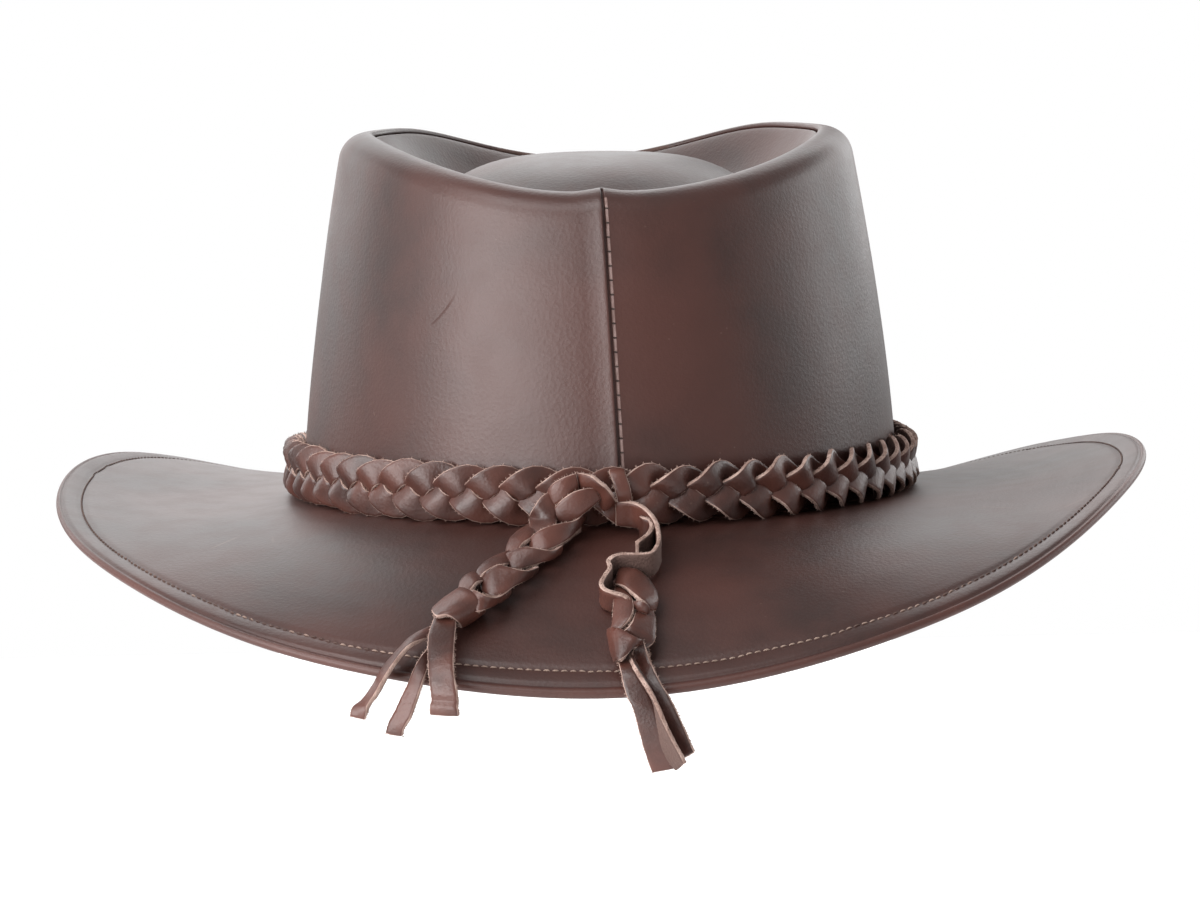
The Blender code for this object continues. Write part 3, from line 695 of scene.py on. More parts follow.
def add_rows(piece):
    """Cuts more rows across the brim."""
    only(piece)
    bpy.ops.object.mode_set(mode="EDIT")
    bpy.ops.mesh.select_mode(type="EDGE")
    shape = bmesh.from_edit_mesh(piece.data)
    bpy.ops.mesh.select_all(action="DESELECT")
    for edge in shape.edges:
        edge.select_set(across_brim(edge))
    bmesh.update_edit_mesh(piece.data)
    bpy.ops.mesh.subdivide(number_cuts=CROSS_CUTS)
    bpy.ops.mesh.select_mode(type="FACE")
    bpy.ops.object.mode_set(mode="OBJECT")


brim = copy_of("brim", "brim_hide_piece")
add_rows(brim)
round_off(brim)
brim_shape = surface_of(brim)
for finish in (brim_hide, flesh_side, rolled_edge_painted_highlight):
    brim.data.materials.append(finish)
hand_over(brim, "brim_leather", "brim")

# %% [markdown]
# ## The stitch line
# A machine sews about 8 mm inside the rolled edge, with tan thread, and each stitch sinks a little
# into the hide. The line is found on the brim itself: from the outermost point of the edge it is
# measured inwards along the leather. Every stitch is one small bead of thread, modelled once and
# stamped along the line, above and below.

# %% Find the stitch line
STITCH_INSET = 0.0078           # from the edge to the stitches, along the leather
STITCH_PITCH = 0.0023
ROLL_INSET = 0.0021             # from the edge to the crease of its roll
LINE_SPOTS = 360                # places round the hat where the line is measured
INWARD_STEP = 0.0004
SURE_BRIM, SURE_AIR = 0.055, 0.095        # the brim's edge lies between these widths
HALVINGS = 14
CAST_FROM = 0.2                 # height above and below the brim that rays start from
DOWN = Vector((0.0, 0.0, -1.0))


def oval_way(angle):
    """The level direction square to the crown's oval."""
    way = Vector((math.sin(angle) / FOOT_HALF_WIDTH, math.cos(angle) / FOOT_HALF_DEPTH, 0.0))
    return way.normalized()


def oval_spot(angle, outward, height=0.0):
    """A place outside the crown's foot."""
    foot = Vector((FOOT_HALF_WIDTH * math.sin(angle), FOOT_HALF_DEPTH * math.cos(angle), height))
    return foot + oval_way(angle) * outward


def brim_from_above(spot):
    """The brim's upper face under a place, and its normal."""
    return brim_shape.ray_cast(Vector((spot.x, spot.y, CAST_FROM)), DOWN)[:2]


def edge_reach(angle):
    """How far out the brim's edge lies, by halving the stretch that holds it."""
    inside, outside = SURE_BRIM, SURE_AIR
    for _ in range(HALVINGS):
        middle = (inside + outside) / 2.0
        if brim_from_above(oval_spot(angle, middle))[0] is None:
            outside = middle
        else:
            inside = middle
    return inside


def line_spot(angle, inset):
    """The place on the upper face at an inset from the edge."""
    reach = edge_reach(angle)
    last = brim_from_above(oval_spot(angle, reach))[0]
    run = 0.0
    while run < inset:
        reach -= INWARD_STEP
        spot = brim_from_above(oval_spot(angle, reach))[0]
        run += (spot - last).length
        last = spot
    return last


def even_run(spots, pitch):
    """Places an even pitch apart along a closed line, with the line's direction at each."""
    closed = np.vstack([spots, spots[:1]])
    lengths = np.concatenate([[0.0], np.cumsum(np.linalg.norm(np.diff(closed, axis=0), axis=1))])
    count = round(lengths[-1] / pitch)
    where = np.arange(count) * lengths[-1] / count
    even = np.stack([np.interp(where, lengths, closed[:, i]) for i in range(3)], axis=1)
    along = np.roll(even, -1, axis=0) - np.roll(even, 1, axis=0)
    return even, unit(along)


def inset_line(inset):
    """A closed line round the brim at an inset from its edge."""
    return np.array([line_spot(math.tau * i / LINE_SPOTS, inset) for i in range(LINE_SPOTS)])


stitch_line = inset_line(STITCH_INSET)
roll_line = inset_line(ROLL_INSET)
stitch_spots, stitch_along = even_run(stitch_line, STITCH_PITCH)
print("stitches", len(stitch_spots), "line mm", round(1000 * STITCH_PITCH * len(stitch_spots)))

# %% [markdown]
# The channel is pressed into the copy of the brim: its vertices near the line move down along their
# normals. Outside the line the hide is doubled over the edge, so it stands a little prouder there,
# and a crease parts the round roll of the edge from it.

# %% Press the channel
CHANNEL_DEPTH = 0.0004
CHANNEL_WIDTH = 0.0009
HEM_SWELL = 0.0002
HEM_WIDTH = 0.0036
ROLL_CREASE_DEPTH = 0.00055
ROLL_CREASE_WIDTH = 0.00055
FINE_PITCH = 0.0004             # between a line's places when distances to it are measured
FACES_UP = 0.2                  # a vertex whose normal leans up by this is on the upper face


def oval_share(spots):
    """How far out places lie, as a share of the crown's foot, whose oval is at 1."""
    return np.linalg.norm(spots[:, :2] / (FOOT_HALF_WIDTH, FOOT_HALF_DEPTH), axis=1)


def finder_of(line):
    """A search tree over the places of a line."""
    tree = kdtree.KDTree(len(line))
    for i, spot in enumerate(line):
        tree.insert(spot, i)
    tree.balance()
    return tree


def nearest_on(line_finder, spots):
    """The number of the line's nearest place for each spot, and how far off that is."""
    found = [line_finder.find(spot) for spot in spots]
    return np.array([hit[1] for hit in found]), np.array([hit[2] for hit in found])


fine_stitch_line = even_run(stitch_line, FINE_PITCH)[0]
fine_roll_line = even_run(roll_line, FINE_PITCH)[0]
stitch_finder = finder_of(fine_stitch_line)
roll_finder = finder_of(fine_roll_line)
spots, normals = places(brim)
nearest, reach = nearest_on(stitch_finder, spots)
roll_reach = nearest_on(roll_finder, spots)[1]
beyond = oval_share(spots) > oval_share(fine_stitch_line[nearest])
upper = normals[:, 2] > FACES_UP
press = np.exp(-(reach / CHANNEL_WIDTH) ** 2) * CHANNEL_DEPTH
press += np.exp(-(roll_reach / ROLL_CREASE_WIDTH) ** 2) * ROLL_CREASE_DEPTH
hem = np.exp(-((reach - HEM_WIDTH) / (0.5 * HEM_WIDTH)) ** 2) * HEM_SWELL * beyond
spots += normals * ((hem - press) * upper)[:, None]
set_places(brim, spots)
print("deepest channel mm", round(1000 * press.max(), 2))
print("rows near the edge mm", round(1000 * np.median(np.sort(roll_reach[upper])[:2000]), 2))

# %% [markdown]
# A stitch starts as a small ball. It is stretched, flattened and its two ends are bent down into the
# hide, more the farther out a vertex lies. The ball's vertices come in another order from run to
# run, so they are numbered anew by their places. A row of stitches is one mesh of such beads, each
# turned to its own place on the line.

# %% Model one stitch
STITCH_LENGTH = 0.0019
THREAD_HALF = 0.00027
END_DIP = 0.00035
BEAD_DIGITS = 7                 # places are compared to a tenth of a micrometre


def in_order(shape, faces):
    """The same vertices and faces, numbered by their places."""
    order = np.lexsort(np.round(shape, BEAD_DIGITS).T)
    number = np.argsort(order).tolist()
    faces = [[number[i] for i in face] for face in faces]
    starts = [face.index(min(face)) for face in faces]
    return shape[order], sorted(tuple(face[i:] + face[:i]) for face, i in zip(faces, starts))


def thread_bead(length, half, dip):
    """One visible stitch, lying along X, as arrays of places and faces."""
    deselect()
    bpy.ops.mesh.primitive_uv_sphere_add(segments=7, ring_count=6, radius=1.0,
                                         rotation=(0.0, math.radians(90), 0.0))
    bead = bpy.context.object
    bpy.ops.object.transform_apply(rotation=True)
    bpy.ops.transform.resize(value=(length / 2.0, half, half))
    bpy.ops.object.transform_apply(scale=True)
    shape = np.array([v.co for v in bead.data.vertices])
    shape[:, 2] -= dip * (2.0 * shape[:, 0] / length) ** 4
    faces = [tuple(p.vertices) for p in bead.data.polygons]
    bpy.data.objects.remove(bead)
    return in_order(shape, faces)


def stamp(name, model, spots, along, over):
    """One mesh of a model's copies, each turned to its own along and over directions."""
    shape, faces = model
    side = np.cross(over, along)
    side /= np.linalg.norm(side, axis=1)[:, None]
    over = np.cross(along, side)
    placed = (spots[:, None, :] + shape[None, :, 0:1] * along[:, None, :]
              + shape[None, :, 1:2] * side[:, None, :] + shape[None, :, 2:3] * over[:, None, :])
    count = len(shape)
    all_faces = [tuple(i + n * count for i in face) for n in range(len(spots)) for face in faces]
    mesh = bpy.data.meshes.new(name)
    mesh.from_pydata(placed.reshape(-1, 3).tolist(), [], all_faces)
    piece = bpy.data.objects.new(name, mesh)
    bpy.context.scene.collection.objects.link(piece)
    return piece


bead = thread_bead(STITCH_LENGTH, THREAD_HALF, END_DIP)
print("bead vertices", len(bead[0]), "faces", len(bead[1]))

# %% [markdown]
# Slight changes of slant keep the row from looking like print. The thread is tan near the back's
# middle and darker brown at the sides. A bead changes colour whole, so the change is a scatter of
# tan and brown beads.

# %% Sew the brim
THREAD_GRAIN = {"cells": 3000.0, "clouds": 60.0}
SLANT = 0.10                    # radians of chance in a stitch's slant
BEAD_SEAT = 0.55                # share of the thread's half width that stands over the hide
SIDE_THREAD_FROM = 0.085              # distance from the hat's middle plane where the thread turns brown
SIDE_THREAD_BLEND = 0.035             # chance in that distance, to either side
STITCH_SEED = 11


def hit_arrays(hits):
    """The places that rays hit, and the hide's normals there."""
    return np.array([hit[0] for hit in hits]), np.array([hit[1] for hit in hits])


def slanted(along, over, chance):
    """The stitches' directions, each turned a little about its own normal."""
    side = np.cross(over, along)
    turn = chance.uniform(-SLANT, SLANT, len(along))[:, None]
    return along * np.cos(turn) + side * np.sin(turn)


thread = leather("thread", (0.20, 0.135, 0.108), (0.31, 0.22, 0.178), (0.45, 0.35, 0.30), 0.75, 0.6,
                 nap=0.2, **THREAD_GRAIN)
# Darker brown thread for the stitches at the brim's sides.
side_thread = leather("side_thread", (0.060, 0.031, 0.024), (0.105, 0.060, 0.047), PALE_BROWN, 0.7, 0.6,
                       **THREAD_GRAIN)
chance = np.random.default_rng(STITCH_SEED)
brim_shape = surface_of(brim)
stitch_rows = []
for name, from_z, way in (("upper", CAST_FROM, DOWN), ("lower", -CAST_FROM, -DOWN)):
    hits = [brim_shape.ray_cast(Vector((s[0], s[1], from_z)), way)[:2] for s in stitch_spots]
    seat, over = hit_arrays(hits)
    seat = seat + over * THREAD_HALF * BEAD_SEAT
    along = slanted(stitch_along, over, chance)
    stitch_rows.append(stamp(f"brim_stitches_{name}", bead, seat, along, over))
for piece in stitch_rows:
    piece.data.materials.append(thread)
    piece.data.materials.append(side_thread)
    hand_over(piece, "brim_leather")
    middles = faces_of(piece)[0]
    bead_number = np.arange(len(middles)) // len(bead[1])
    changes_at = SIDE_THREAD_FROM + chance.uniform(-SIDE_THREAD_BLEND, SIDE_THREAD_BLEND, len(stitch_spots))[bead_number]
    paint_faces(piece, np.abs(middles[:, 0]) > changes_at)

# %% [markdown]
# The crown's back seam is sewn with thread drawn deep into the crack, and its beads are coloured near
# black as painted shade of the stitch pits: each stitch shows only as a short dark tick across the pale
# strip beside it, a cut edge that is partly a painted highlight.

# %% Seam stitches
SEAM_STITCH_PITCH = 0.0039
SEAM_STITCH_LENGTH = 0.0012
SEAM_STITCH_OFFSET = -0.0008
SEAM_LOW, SEAM_HIGH = 0.020, 0.0850
CROSSING = (1.0, 0.0, 0.12)     # the way of a stitch over the seam, rising a little

# Thread coloured near black: painted shade in the stitch pits.
seam_thread_painted_shade = leather("seam_thread_painted_shade", (0.030, 0.018, 0.015), (0.045, 0.025, 0.020), PALE_BROWN, 0.8, 0.6,
                      **THREAD_GRAIN)
crown_shape = surface_of(crown_side)
count = round((SEAM_HIGH - SEAM_LOW) / SEAM_STITCH_PITCH)
heights = [SEAM_LOW + (SEAM_HIGH - SEAM_LOW) * i / count for i in range(count + 1)]
hits = []
for height in heights:
    start = Vector((SEAM_STITCH_OFFSET + seam_shift(height), CAST_FROM, height))
    hits.append(crown_shape.ray_cast(start, Vector((0.0, -1.0, 0.0)))[:2])
seat, over = hit_arrays(hits)
crossing = np.array([CROSSING] * len(hits))
crossing = unit(crossing - over * np.sum(crossing * over, axis=1)[:, None])
seam_stitches = stamp("seam_stitches", thread_bead(SEAM_STITCH_LENGTH, THREAD_HALF, END_DIP), seat,
                      crossing, over)
seam_stitches.data.materials.append(seam_thread_painted_shade)
hand_over(seam_stitches, "crown_leather")

# %% [markdown]
# ## A lace
# Every lace is a long flat cut of the same hide, about 8 mm wide. It starts as a flat grid, which
# keeps its own UV map: one way along the lace, the other across it. The grid's vertices are then laid
# along the lace's way, Solidify gives it thickness, with the raw cut as a material of its own, and a
# small bevel breaks the hard edge.

# %% Lace helpers
CUT_LINES = []                  # the laces' raw edges, with the way that each faces
LACE_THICKNESS = 0.0013
CUT_BEVEL = 0.00022
RAGGED = 0.00013                # unevenness of a lace's faces
RAGGED_LENGTHS = (0.0011, 0.0017, 0.0029, 0.0043)
RAGGED_SEED = 3
SHARP_EDGE = math.radians(55)   # edges sharper than this are bevelled


def flat_strip(name, long_steps, cross_steps):
    """A flat grid, with each vertex's share along it and across it, the latter from -0.5 to 0.5."""
    deselect()
    bpy.ops.mesh.primitive_grid_add(x_subdivisions=long_steps, y_subdivisions=cross_steps, size=1.0)
    piece = bpy.context.object
    piece.name = name
    flat = places(piece)[0]
    return piece, flat[:, 0] + 0.5, flat[:, 1]


def note_cuts(spots, share, across):
    """Keeps the strip's two raw edges, for the loose fibres that are added at the end."""
    cells = len(np.unique(np.round(across, 5))) - 1
    for side in (-0.5, 0.5):
        edge = np.where(np.isclose(across, side))[0]
        inner = np.where(np.isclose(across, side * (1.0 - 2.0 / cells)))[0]
        edge = edge[np.argsort(share[edge])]
        inner = inner[np.argsort(share[inner])]
        CUT_LINES.append((spots[edge], unit(spots[edge] - spots[inner])))


def finish_lace(piece, spots, node):
    """Lays the strip in its place, gives it thickness, a raw cut and a soft edge."""
    set_places(piece, spots)
    for finish in (lace_face, flesh_side, raw_edge):
        piece.data.materials.append(finish)
    apply_modifier(piece, "SOLIDIFY", thickness=LACE_THICKNESS, offset=0.0, material_offset=1,
                   material_offset_rim=2)
    apply_modifier(piece, "BEVEL", width=CUT_BEVEL, segments=1, limit_method="ANGLE",
                   angle_limit=SHARP_EDGE)
    spots, normals = places(piece)
    spots += normals * (waves(spots, RAGGED_SEED, RAGGED_LENGTHS) * RAGGED)[:, None]
    set_places(piece, spots)
    hand_over(piece, "lace_leather", node)


def smooth_way(rows, shares):
    """Places on a smooth curve through the rows, at shares of its length."""
    rows = np.array(rows, dtype=float)
    spans = len(rows) - 1
    fine = np.linspace(0.0, spans - 1e-9, 40 * spans)
    index = fine.astype(int)
    part = (fine - index)[:, None]
    before, start, end, after = [rows[np.clip(index + j, 0, spans)] for j in (-1, 0, 1, 2)]
    curve = start + 0.5 * part * (end - before + part * (2.0 * before - 5.0 * start + 4.0 * end - after
                                  + part * (3.0 * (start - end) + after - before)))
    lengths = np.concatenate([[0.0], np.cumsum(np.linalg.norm(np.diff(curve[:, :3], axis=0), axis=1))])
    at = np.clip(shares, 0.0, 1.0) * lengths[-1]
    spots = np.stack([np.interp(at, lengths, curve[:, i]) for i in range(rows.shape[1])], axis=1)
    return spots, lengths[-1]


# %% [markdown]
# ## The braid
# In a flat braid of three, each lace swings from edge to edge as it runs along, and dives under its
# neighbours between: seen from above its way is a wave, and seen from the edge it rises and falls
# twice as often. The three laces follow the same wave a third of a turn apart. A lace also banks, so
# that the side that shows lies over the next lobe, and its edges curl down. Small waves with their
# own seed for each lace keep the hand-made look.

# %% The braid's own shape
BRAID_SWING = 0.0042            # how far each lace's middle swings to either side
BRAID_RISE = 0.0020             # how far it rises and dives
BANK = 0.32                     # how far a lace tips as it crosses the middle
CORNER = 0.07                   # how much sharper than a wave the lace turns at the edges
EDGE_CURL = 5.0                 # drop for the square of the distance from the lace's middle
BODY_CURL = 17.0                # drop for the square of the distance from the braid's middle
BAND_LACE_WIDTH = 0.0071        # pulled tight, a lace is a little narrower than in the ties
LOOSE = 0.09                    # chance in the swing and rise, as a share
LOOSE_CYCLES = (5, 26)          # how often that comes and goes along a lace
BRAID_SEED = 20


def braid_shape(number, run, across, total, turn):
    """Along, sideways and upward distances of one lace's vertices, from its run and share across."""
    chance = np.random.default_rng(BRAID_SEED + number)
    wobble = np.zeros((3, len(run)))
    for row in range(3):
        for _ in range(4):
            cycles = chance.integers(*LOOSE_CYCLES)
            wobble[row] += np.sin(math.tau * (cycles * run / total + chance.uniform())) / 2.0
    phase = math.tau * (run / turn + number / 3.0)
    swing = BRAID_SWING * (1.0 + LOOSE * wobble[0])
    slope = np.arctan(swing * (np.cos(phase) - 3.0 * CORNER * np.cos(3.0 * phase)) * math.tau / turn)
    offset = across * BAND_LACE_WIDTH * (1.0 + 0.5 * LOOSE * wobble[2])
    along = run - offset * np.sin(slope)
    sideways = swing * (np.sin(phase) - CORNER * np.sin(3.0 * phase)) + offset * np.cos(slope)
    rise = BRAID_RISE * (1.0 + LOOSE * wobble[1])
    height = rise * np.sin(2.0 * phase) + BANK * offset * np.cos(phase)
    height -= EDGE_CURL * offset ** 2 + BODY_CURL * sideways ** 2
    return along, sideways, height


# %% [markdown]
# ## The hat band
# The band lies round the crown's foot and runs on under its own knot, so its laces are closed loops
# of a whole number of turns. Its height follows the solid of the band, which follows the saddle of
# the brim, and its back keeps clear of the crown's wall, also where the wall is lapped.

# %% Measure the wall under the band
BAND_TURNS = 20
BAND_CLEARANCE = 0.0004
WALL_SPOTS = 720                # places round the wall where its bulges are measured
PROUD_REACH = 6                 # how many of them a bulge is spread over
OUTSIDE_WALL = 0.03             # rays to the wall start this far outside the foot's oval
MIDDLE_OUT = 0.003              # where the braid's middle runs, for its length

band_nodes = np.array([v.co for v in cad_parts["hat_band"].data.vertices])
round_of = np.arctan2(band_nodes[:, 0] / FOOT_HALF_WIDTH, band_nodes[:, 1] / FOOT_HALF_DEPTH)


def saddle(angles):
    """The columns that a height round the hat is fitted with."""
    return np.stack([np.ones_like(angles), np.cos(angles), np.cos(2.0 * angles)], axis=1)


band_middle = np.linalg.lstsq(saddle(round_of), band_nodes[:, 2], rcond=None)[0]
wall_angles = np.linspace(0.0, math.tau, WALL_SPOTS, endpoint=False)
wall_heights = saddle(wall_angles) @ band_middle
proud = []
for angle, height in zip(wall_angles, wall_heights):
    start = oval_spot(angle, OUTSIDE_WALL, height)
    hit = crown_shape.ray_cast(start, -oval_way(angle))[0]
    proud.append((hit - oval_spot(angle, 0.0, height)).dot(oval_way(angle)))
shifts = range(-PROUD_REACH, PROUD_REACH + 1)
proud = np.max([np.roll(proud, shift) for shift in shifts], axis=0)
proud = np.mean([np.roll(proud, shift) for shift in shifts], axis=0)
mid_line = np.array([oval_spot(angle, MIDDLE_OUT) for angle in wall_angles])
steps = np.linalg.norm(np.roll(mid_line, -1, axis=0) - mid_line, axis=1)
wall_runs = np.concatenate([[0.0], np.cumsum(steps)])
band_length = wall_runs[-1]
band_turn = band_length / BAND_TURNS
print("band mm", round(1000 * band_length), "one turn mm", round(1000 * band_turn, 1))

# %% [markdown]
# Each lace is a strip whose vertices are laid round the crown by their run along the braid, their
# swing up or down and their height over the wall. Its two ends are merged where they meet.

# %% Lay the band
BAND_STEPS = 520
BAND_CROSS_STEPS = 8
DEEPEST_DIVE = 1.1              # of the usual rise
RING_JOIN = 0.00005             # a lace's two ends meet nearer than this and are merged


def round_band(along, sideways, height, foot):
    """Lays a braid's distances round the crown: it runs from the seam towards the hat's right."""
    angle = -np.interp(along % band_length, wall_runs, np.append(wall_angles, math.tau))
    stand = np.interp(angle % math.tau, wall_angles, proud, period=math.tau)
    out = stand + BAND_CLEARANCE + LACE_THICKNESS / 2.0 + height - foot
    ways = unit(np.stack([np.sin(angle) / FOOT_HALF_WIDTH, np.cos(angle) / FOOT_HALF_DEPTH,
                          np.zeros_like(angle)], axis=1))
    spots = np.stack([FOOT_HALF_WIDTH * np.sin(angle), FOOT_HALF_DEPTH * np.cos(angle),
                      saddle(angle) @ band_middle + sideways], axis=1)
    return spots + ways * out[:, None]


lowest = -(BRAID_RISE * DEEPEST_DIVE + EDGE_CURL * (BAND_LACE_WIDTH / 2.0) ** 2
           + BODY_CURL * BRAID_SWING ** 2)
for number in range(3):
    piece, share, across = flat_strip(f"band_lace_{number + 1}", BAND_STEPS, BAND_CROSS_STEPS)
    shape = braid_shape(number, share * band_length, across, band_length, band_turn)
    spots = round_band(*shape, lowest)
    note_cuts(spots, share, across)
    set_places(piece, spots)
    merge_doubles(piece, RING_JOIN)
    bpy.ops.object.mode_set(mode="OBJECT")
    finish_lace(piece, places(piece)[0], "hat_band")

# %% [markdown]
# ## Laces laid one by one
# The knot and the two ties were pulled by hand, so no formula gives them. Each visible run of lace is
# laid as a ribbon between its two edges: a row of the table is a place on the one edge and the place
# across from it on the other, in millimetres. The ribbon runs smoothly through its rows, and its
# middle is raised a little, as thick leather arches when it is bent over another lace.

# %% Ribbon helper
RIBBON_STEP = 0.0008
RIBBON_CROSS_STEPS = 6
RIBBON_REST = 0.0008            # the least height of a lace's middle layer above the brim
SINKS_AT_MOST = 0.006           # a place deeper than this lies beyond the brim's edge, under it
CREASE_DEPTH = 0.0006
CREASE_HALF = 0.0006
AHEAD = 0.01                    # share of a lace over which its direction is taken
FACING = np.array((0.0, 0.75, 0.66))      # out of the hat's back and upwards


def rest_on_brim(spots):
    """Lifts the places that would sink into the brim."""
    lifted = spots.copy()
    for i, spot in enumerate(spots):
        hit = brim_from_above(Vector(spot))[0]
        if hit is not None and hit.z - spot[2] < SINKS_AT_MOST:
            lifted[i, 2] = max(spot[2], hit.z + RIBBON_REST)
    return lifted


def ribbon(name, rows, node, arch=0.0003, crease=None, hair_side=FACING):
    """One lace through its rows of edge places, resting on the brim."""
    rows = np.array(rows) / 1000.0
    edge, across_from = rows[:, :3], rows[:, 3:]
    rows = np.hstack([(edge + across_from) / 2.0, across_from - edge])
    length = smooth_way(rows, np.array([0.0]))[1]
    piece, share, across = flat_strip(name, max(8, round(length / RIBBON_STEP)), RIBBON_CROSS_STEPS)
    laid = smooth_way(rows, share)[0]
    ahead = smooth_way(rows, share + AHEAD)[0] - smooth_way(rows, share - AHEAD)[0]
    face = unit(np.cross(ahead[:, :3], laid[:, 3:]))
    if np.mean(face @ hair_side) < 0.0:
        laid[:, 3:] *= -1.0
        face *= -1.0
    bulge = arch * (1.0 - 4.0 * across ** 2)
    if crease:
        bulge -= CREASE_DEPTH * np.exp(-((share - crease) * length / CREASE_HALF) ** 2)
    spots = laid[:, :3] + laid[:, 3:] * across[:, None] + face * bulge[:, None]
    spots = rest_on_brim(spots)
    note_cuts(spots, share, across)
    finish_lace(piece, spots, node)


# %% [markdown]
# ## The knot at the back
# Under the knot the band's laces run on. Over them lie two crossing lobes, a collar that stands on
# its edge round the right one, and an upright lobe to the right of it.

# %% Lay the knot
KNOT_LACES = {
    "knot_under": [
        (12.3, 110.5, 15.7, 11.7, 110.5, 10.9), (15.7, 111.5, 14.7, 14.4, 112.0, 9.4),
        (18.3, 111.0, 13.0, 17.5, 111.5, 7.5), (19.7, 109.5, 10.5, 18.6, 109.5, 5.7),
    ],
    "knot_over": [
        (7.2, 112.0, 11.7, 5.9, 112.0, 8.8), (10.1, 113.0, 11.7, 8.3, 113.0, 6.8),
        (13.0, 113.5, 11.0, 11.2, 113.5, 4.5), (15.9, 113.0, 9.1, 13.8, 113.0, 2.9),
        (17.5, 112.0, 7.1, 17.1, 112.0, 2.3), (18.9, 110.0, 4.3, 18.8, 110.5, 0.5),
    ],
    "knot_collar": [
        (11.5, 109.0, 15.6, 11.9, 109.0, 11.2), (8.2, 113.5, 15.4, 9.5, 110.0, 11.0),
        (5.9, 114.5, 13.6, 7.7, 110.5, 10.6), (4.0, 114.5, 12.1, 6.2, 110.5, 9.1),
        (2.4, 113.5, 9.6, 5.8, 110.5, 7.0), (1.8, 111.0, 7.9, 4.8, 110.0, 5.4),
    ],
    "knot_right": [
        (2.9, 107.0, 15.7, -0.7, 107.0, 15.8), (3.2, 109.5, 15.2, -1.0, 109.5, 15.1),
        (2.2, 111.2, 12.2, -1.8, 110.7, 12.3), (1.5, 111.2, 9.3, -2.4, 110.7, 9.7),
        (1.0, 109.5, 6.3, -2.6, 109.0, 6.9),
    ],
}
for name, rows in KNOT_LACES.items():
    ribbon(name, rows, "band_knot")

# %% [markdown]
# ## The left tie
# Three laces are braided loosely down to the end knot, which is one turn of a lace round the others.
# The lobes show in front; a lace under them fills the braid's body.

# %% Lay the left tie
LEFT_LACES = {
    "left_fall_1": [
        (18.8, 109.5, 11.2, 17.8, 110.0, 7.4), (21.5, 111.0, 9.5, 17.9, 112.0, 5.7),
        (23.5, 112.0, 7.0, 17.8, 113.0, 3.6), (24.5, 108.0, 3.7, 18.0, 117.9, 2.3),
        (24.6, 114.2, 1.1, 19.1, 119.3, 0.6), (23.3, 116.8, -2.0, 19.6, 118.7, -1.4),
    ],
    "left_fall_2": [
        (10.0, 102.0, 2.8, 11.1, 109.8, 0.3), (17.9, 113.3, -1.1, 19.3, 121.3, -4.4),
        (25.9, 120.1, -4.4, 26.2, 128.2, -8.2), (33.7, 126.8, -8.2, 34.0, 134.1, -12.1),
        (40.5, 132.1, -11.7, 40.3, 138.9, -15.6), (46.2, 136.5, -14.8, 45.5, 142.3, -18.3),
    ],
    "left_lobe_1": [
        (10.2, 106.9, 5.0, 10.0, 107.0, 2.8), (13.0, 116.4, 3.7, 12.3, 115.4, 1.4),
        (17.2, 119.8, 3.2, 15.0, 120.6, -0.8), (21.1, 121.4, 2.3, 18.0, 123.6, -2.3),
        (24.0, 122.0, 0.7, 20.6, 125.3, -3.2), (25.8, 120.4, -2.0, 23.7, 124.5, -4.2),
    ],
    "left_side_1": [
        (23.8, 107.3, 2.4, 23.9, 119.2, -0.3), (26.9, 113.2, 1.2, 25.4, 122.7, -0.8),
        (29.5, 117.0, -0.4, 27.2, 124.5, -1.8), (30.8, 119.8, -2.2, 28.0, 126.3, -3.2),
        (31.2, 121.5, -4.6, 28.0, 126.7, -5.1),
    ],
    "left_lobe_2": [
        (16.9, 121.9, -2.0, 17.7, 123.1, -4.3), (19.6, 128.0, -2.8, 20.1, 128.2, -5.1),
        (23.4, 129.6, -2.2, 23.9, 130.4, -6.0), (27.1, 128.8, -1.9, 28.0, 132.0, -7.2),
        (30.4, 128.3, -3.1, 30.5, 131.3, -7.1), (32.4, 124.2, -4.9, 32.3, 127.9, -7.2),
    ],
    "left_side_2": [
        (30.1, 120.5, -3.6, 30.4, 127.6, -6.3), (32.2, 125.3, -3.7, 32.0, 132.4, -6.1),
        (35.6, 128.3, -4.9, 34.6, 133.6, -6.4), (38.2, 130.6, -6.4, 37.2, 135.3, -7.6),
        (39.2, 131.5, -8.0, 38.4, 135.5, -9.0), (39.0, 130.6, -9.8, 38.4, 133.3, -10.6),
    ],
    "left_lobe_3": [
        (23.7, 130.5, -6.6, 24.7, 130.6, -8.4), (27.0, 136.1, -7.0, 27.0, 135.3, -9.5),
        (30.7, 136.1, -6.5, 30.4, 138.6, -11.1), (33.9, 135.0, -5.7, 33.6, 141.3, -13.1),
        (36.3, 135.7, -7.1, 36.3, 141.0, -13.1), (38.4, 133.8, -9.2, 38.3, 137.8, -12.0),
    ],
    "left_side_3": [
        (38.0, 128.3, -8.0, 37.7, 135.3, -9.9), (41.3, 131.5, -8.3, 39.7, 139.7, -9.8),
        (43.3, 133.4, -9.5, 40.8, 141.7, -10.8), (44.2, 136.0, -11.6, 41.9, 142.4, -12.3),
        (44.7, 136.4, -13.7, 43.1, 140.1, -13.9),
    ],
    "left_tail": [
        (31.3, 135.9, -11.9, 32.0, 137.2, -13.4), (34.6, 143.5, -12.8, 34.3, 141.5, -14.4),
        (37.6, 146.3, -12.1, 36.7, 144.2, -15.2), (40.3, 144.3, -11.1, 39.4, 147.8, -16.1),
        (42.1, 139.5, -11.7, 41.4, 144.9, -16.2),
    ],
    "left_wrap": [
        (44.6, 132.3, -13.4, 50.2, 136.1, -16.2), (44.1, 136.0, -11.6, 51.5, 142.1, -16.5),
        (42.2, 141.8, -11.2, 50.5, 149.1, -17.2), (39.7, 145.6, -12.6, 47.9, 150.4, -16.8),
        (38.1, 145.2, -14.8, 45.4, 149.2, -18.3), (38.1, 141.5, -16.6, 44.5, 145.7, -20.1),
        (39.6, 138.9, -16.9, 45.0, 142.8, -19.9),
    ],
}
for name, rows in LEFT_LACES.items():
    ribbon(name, rows, "tie_left")

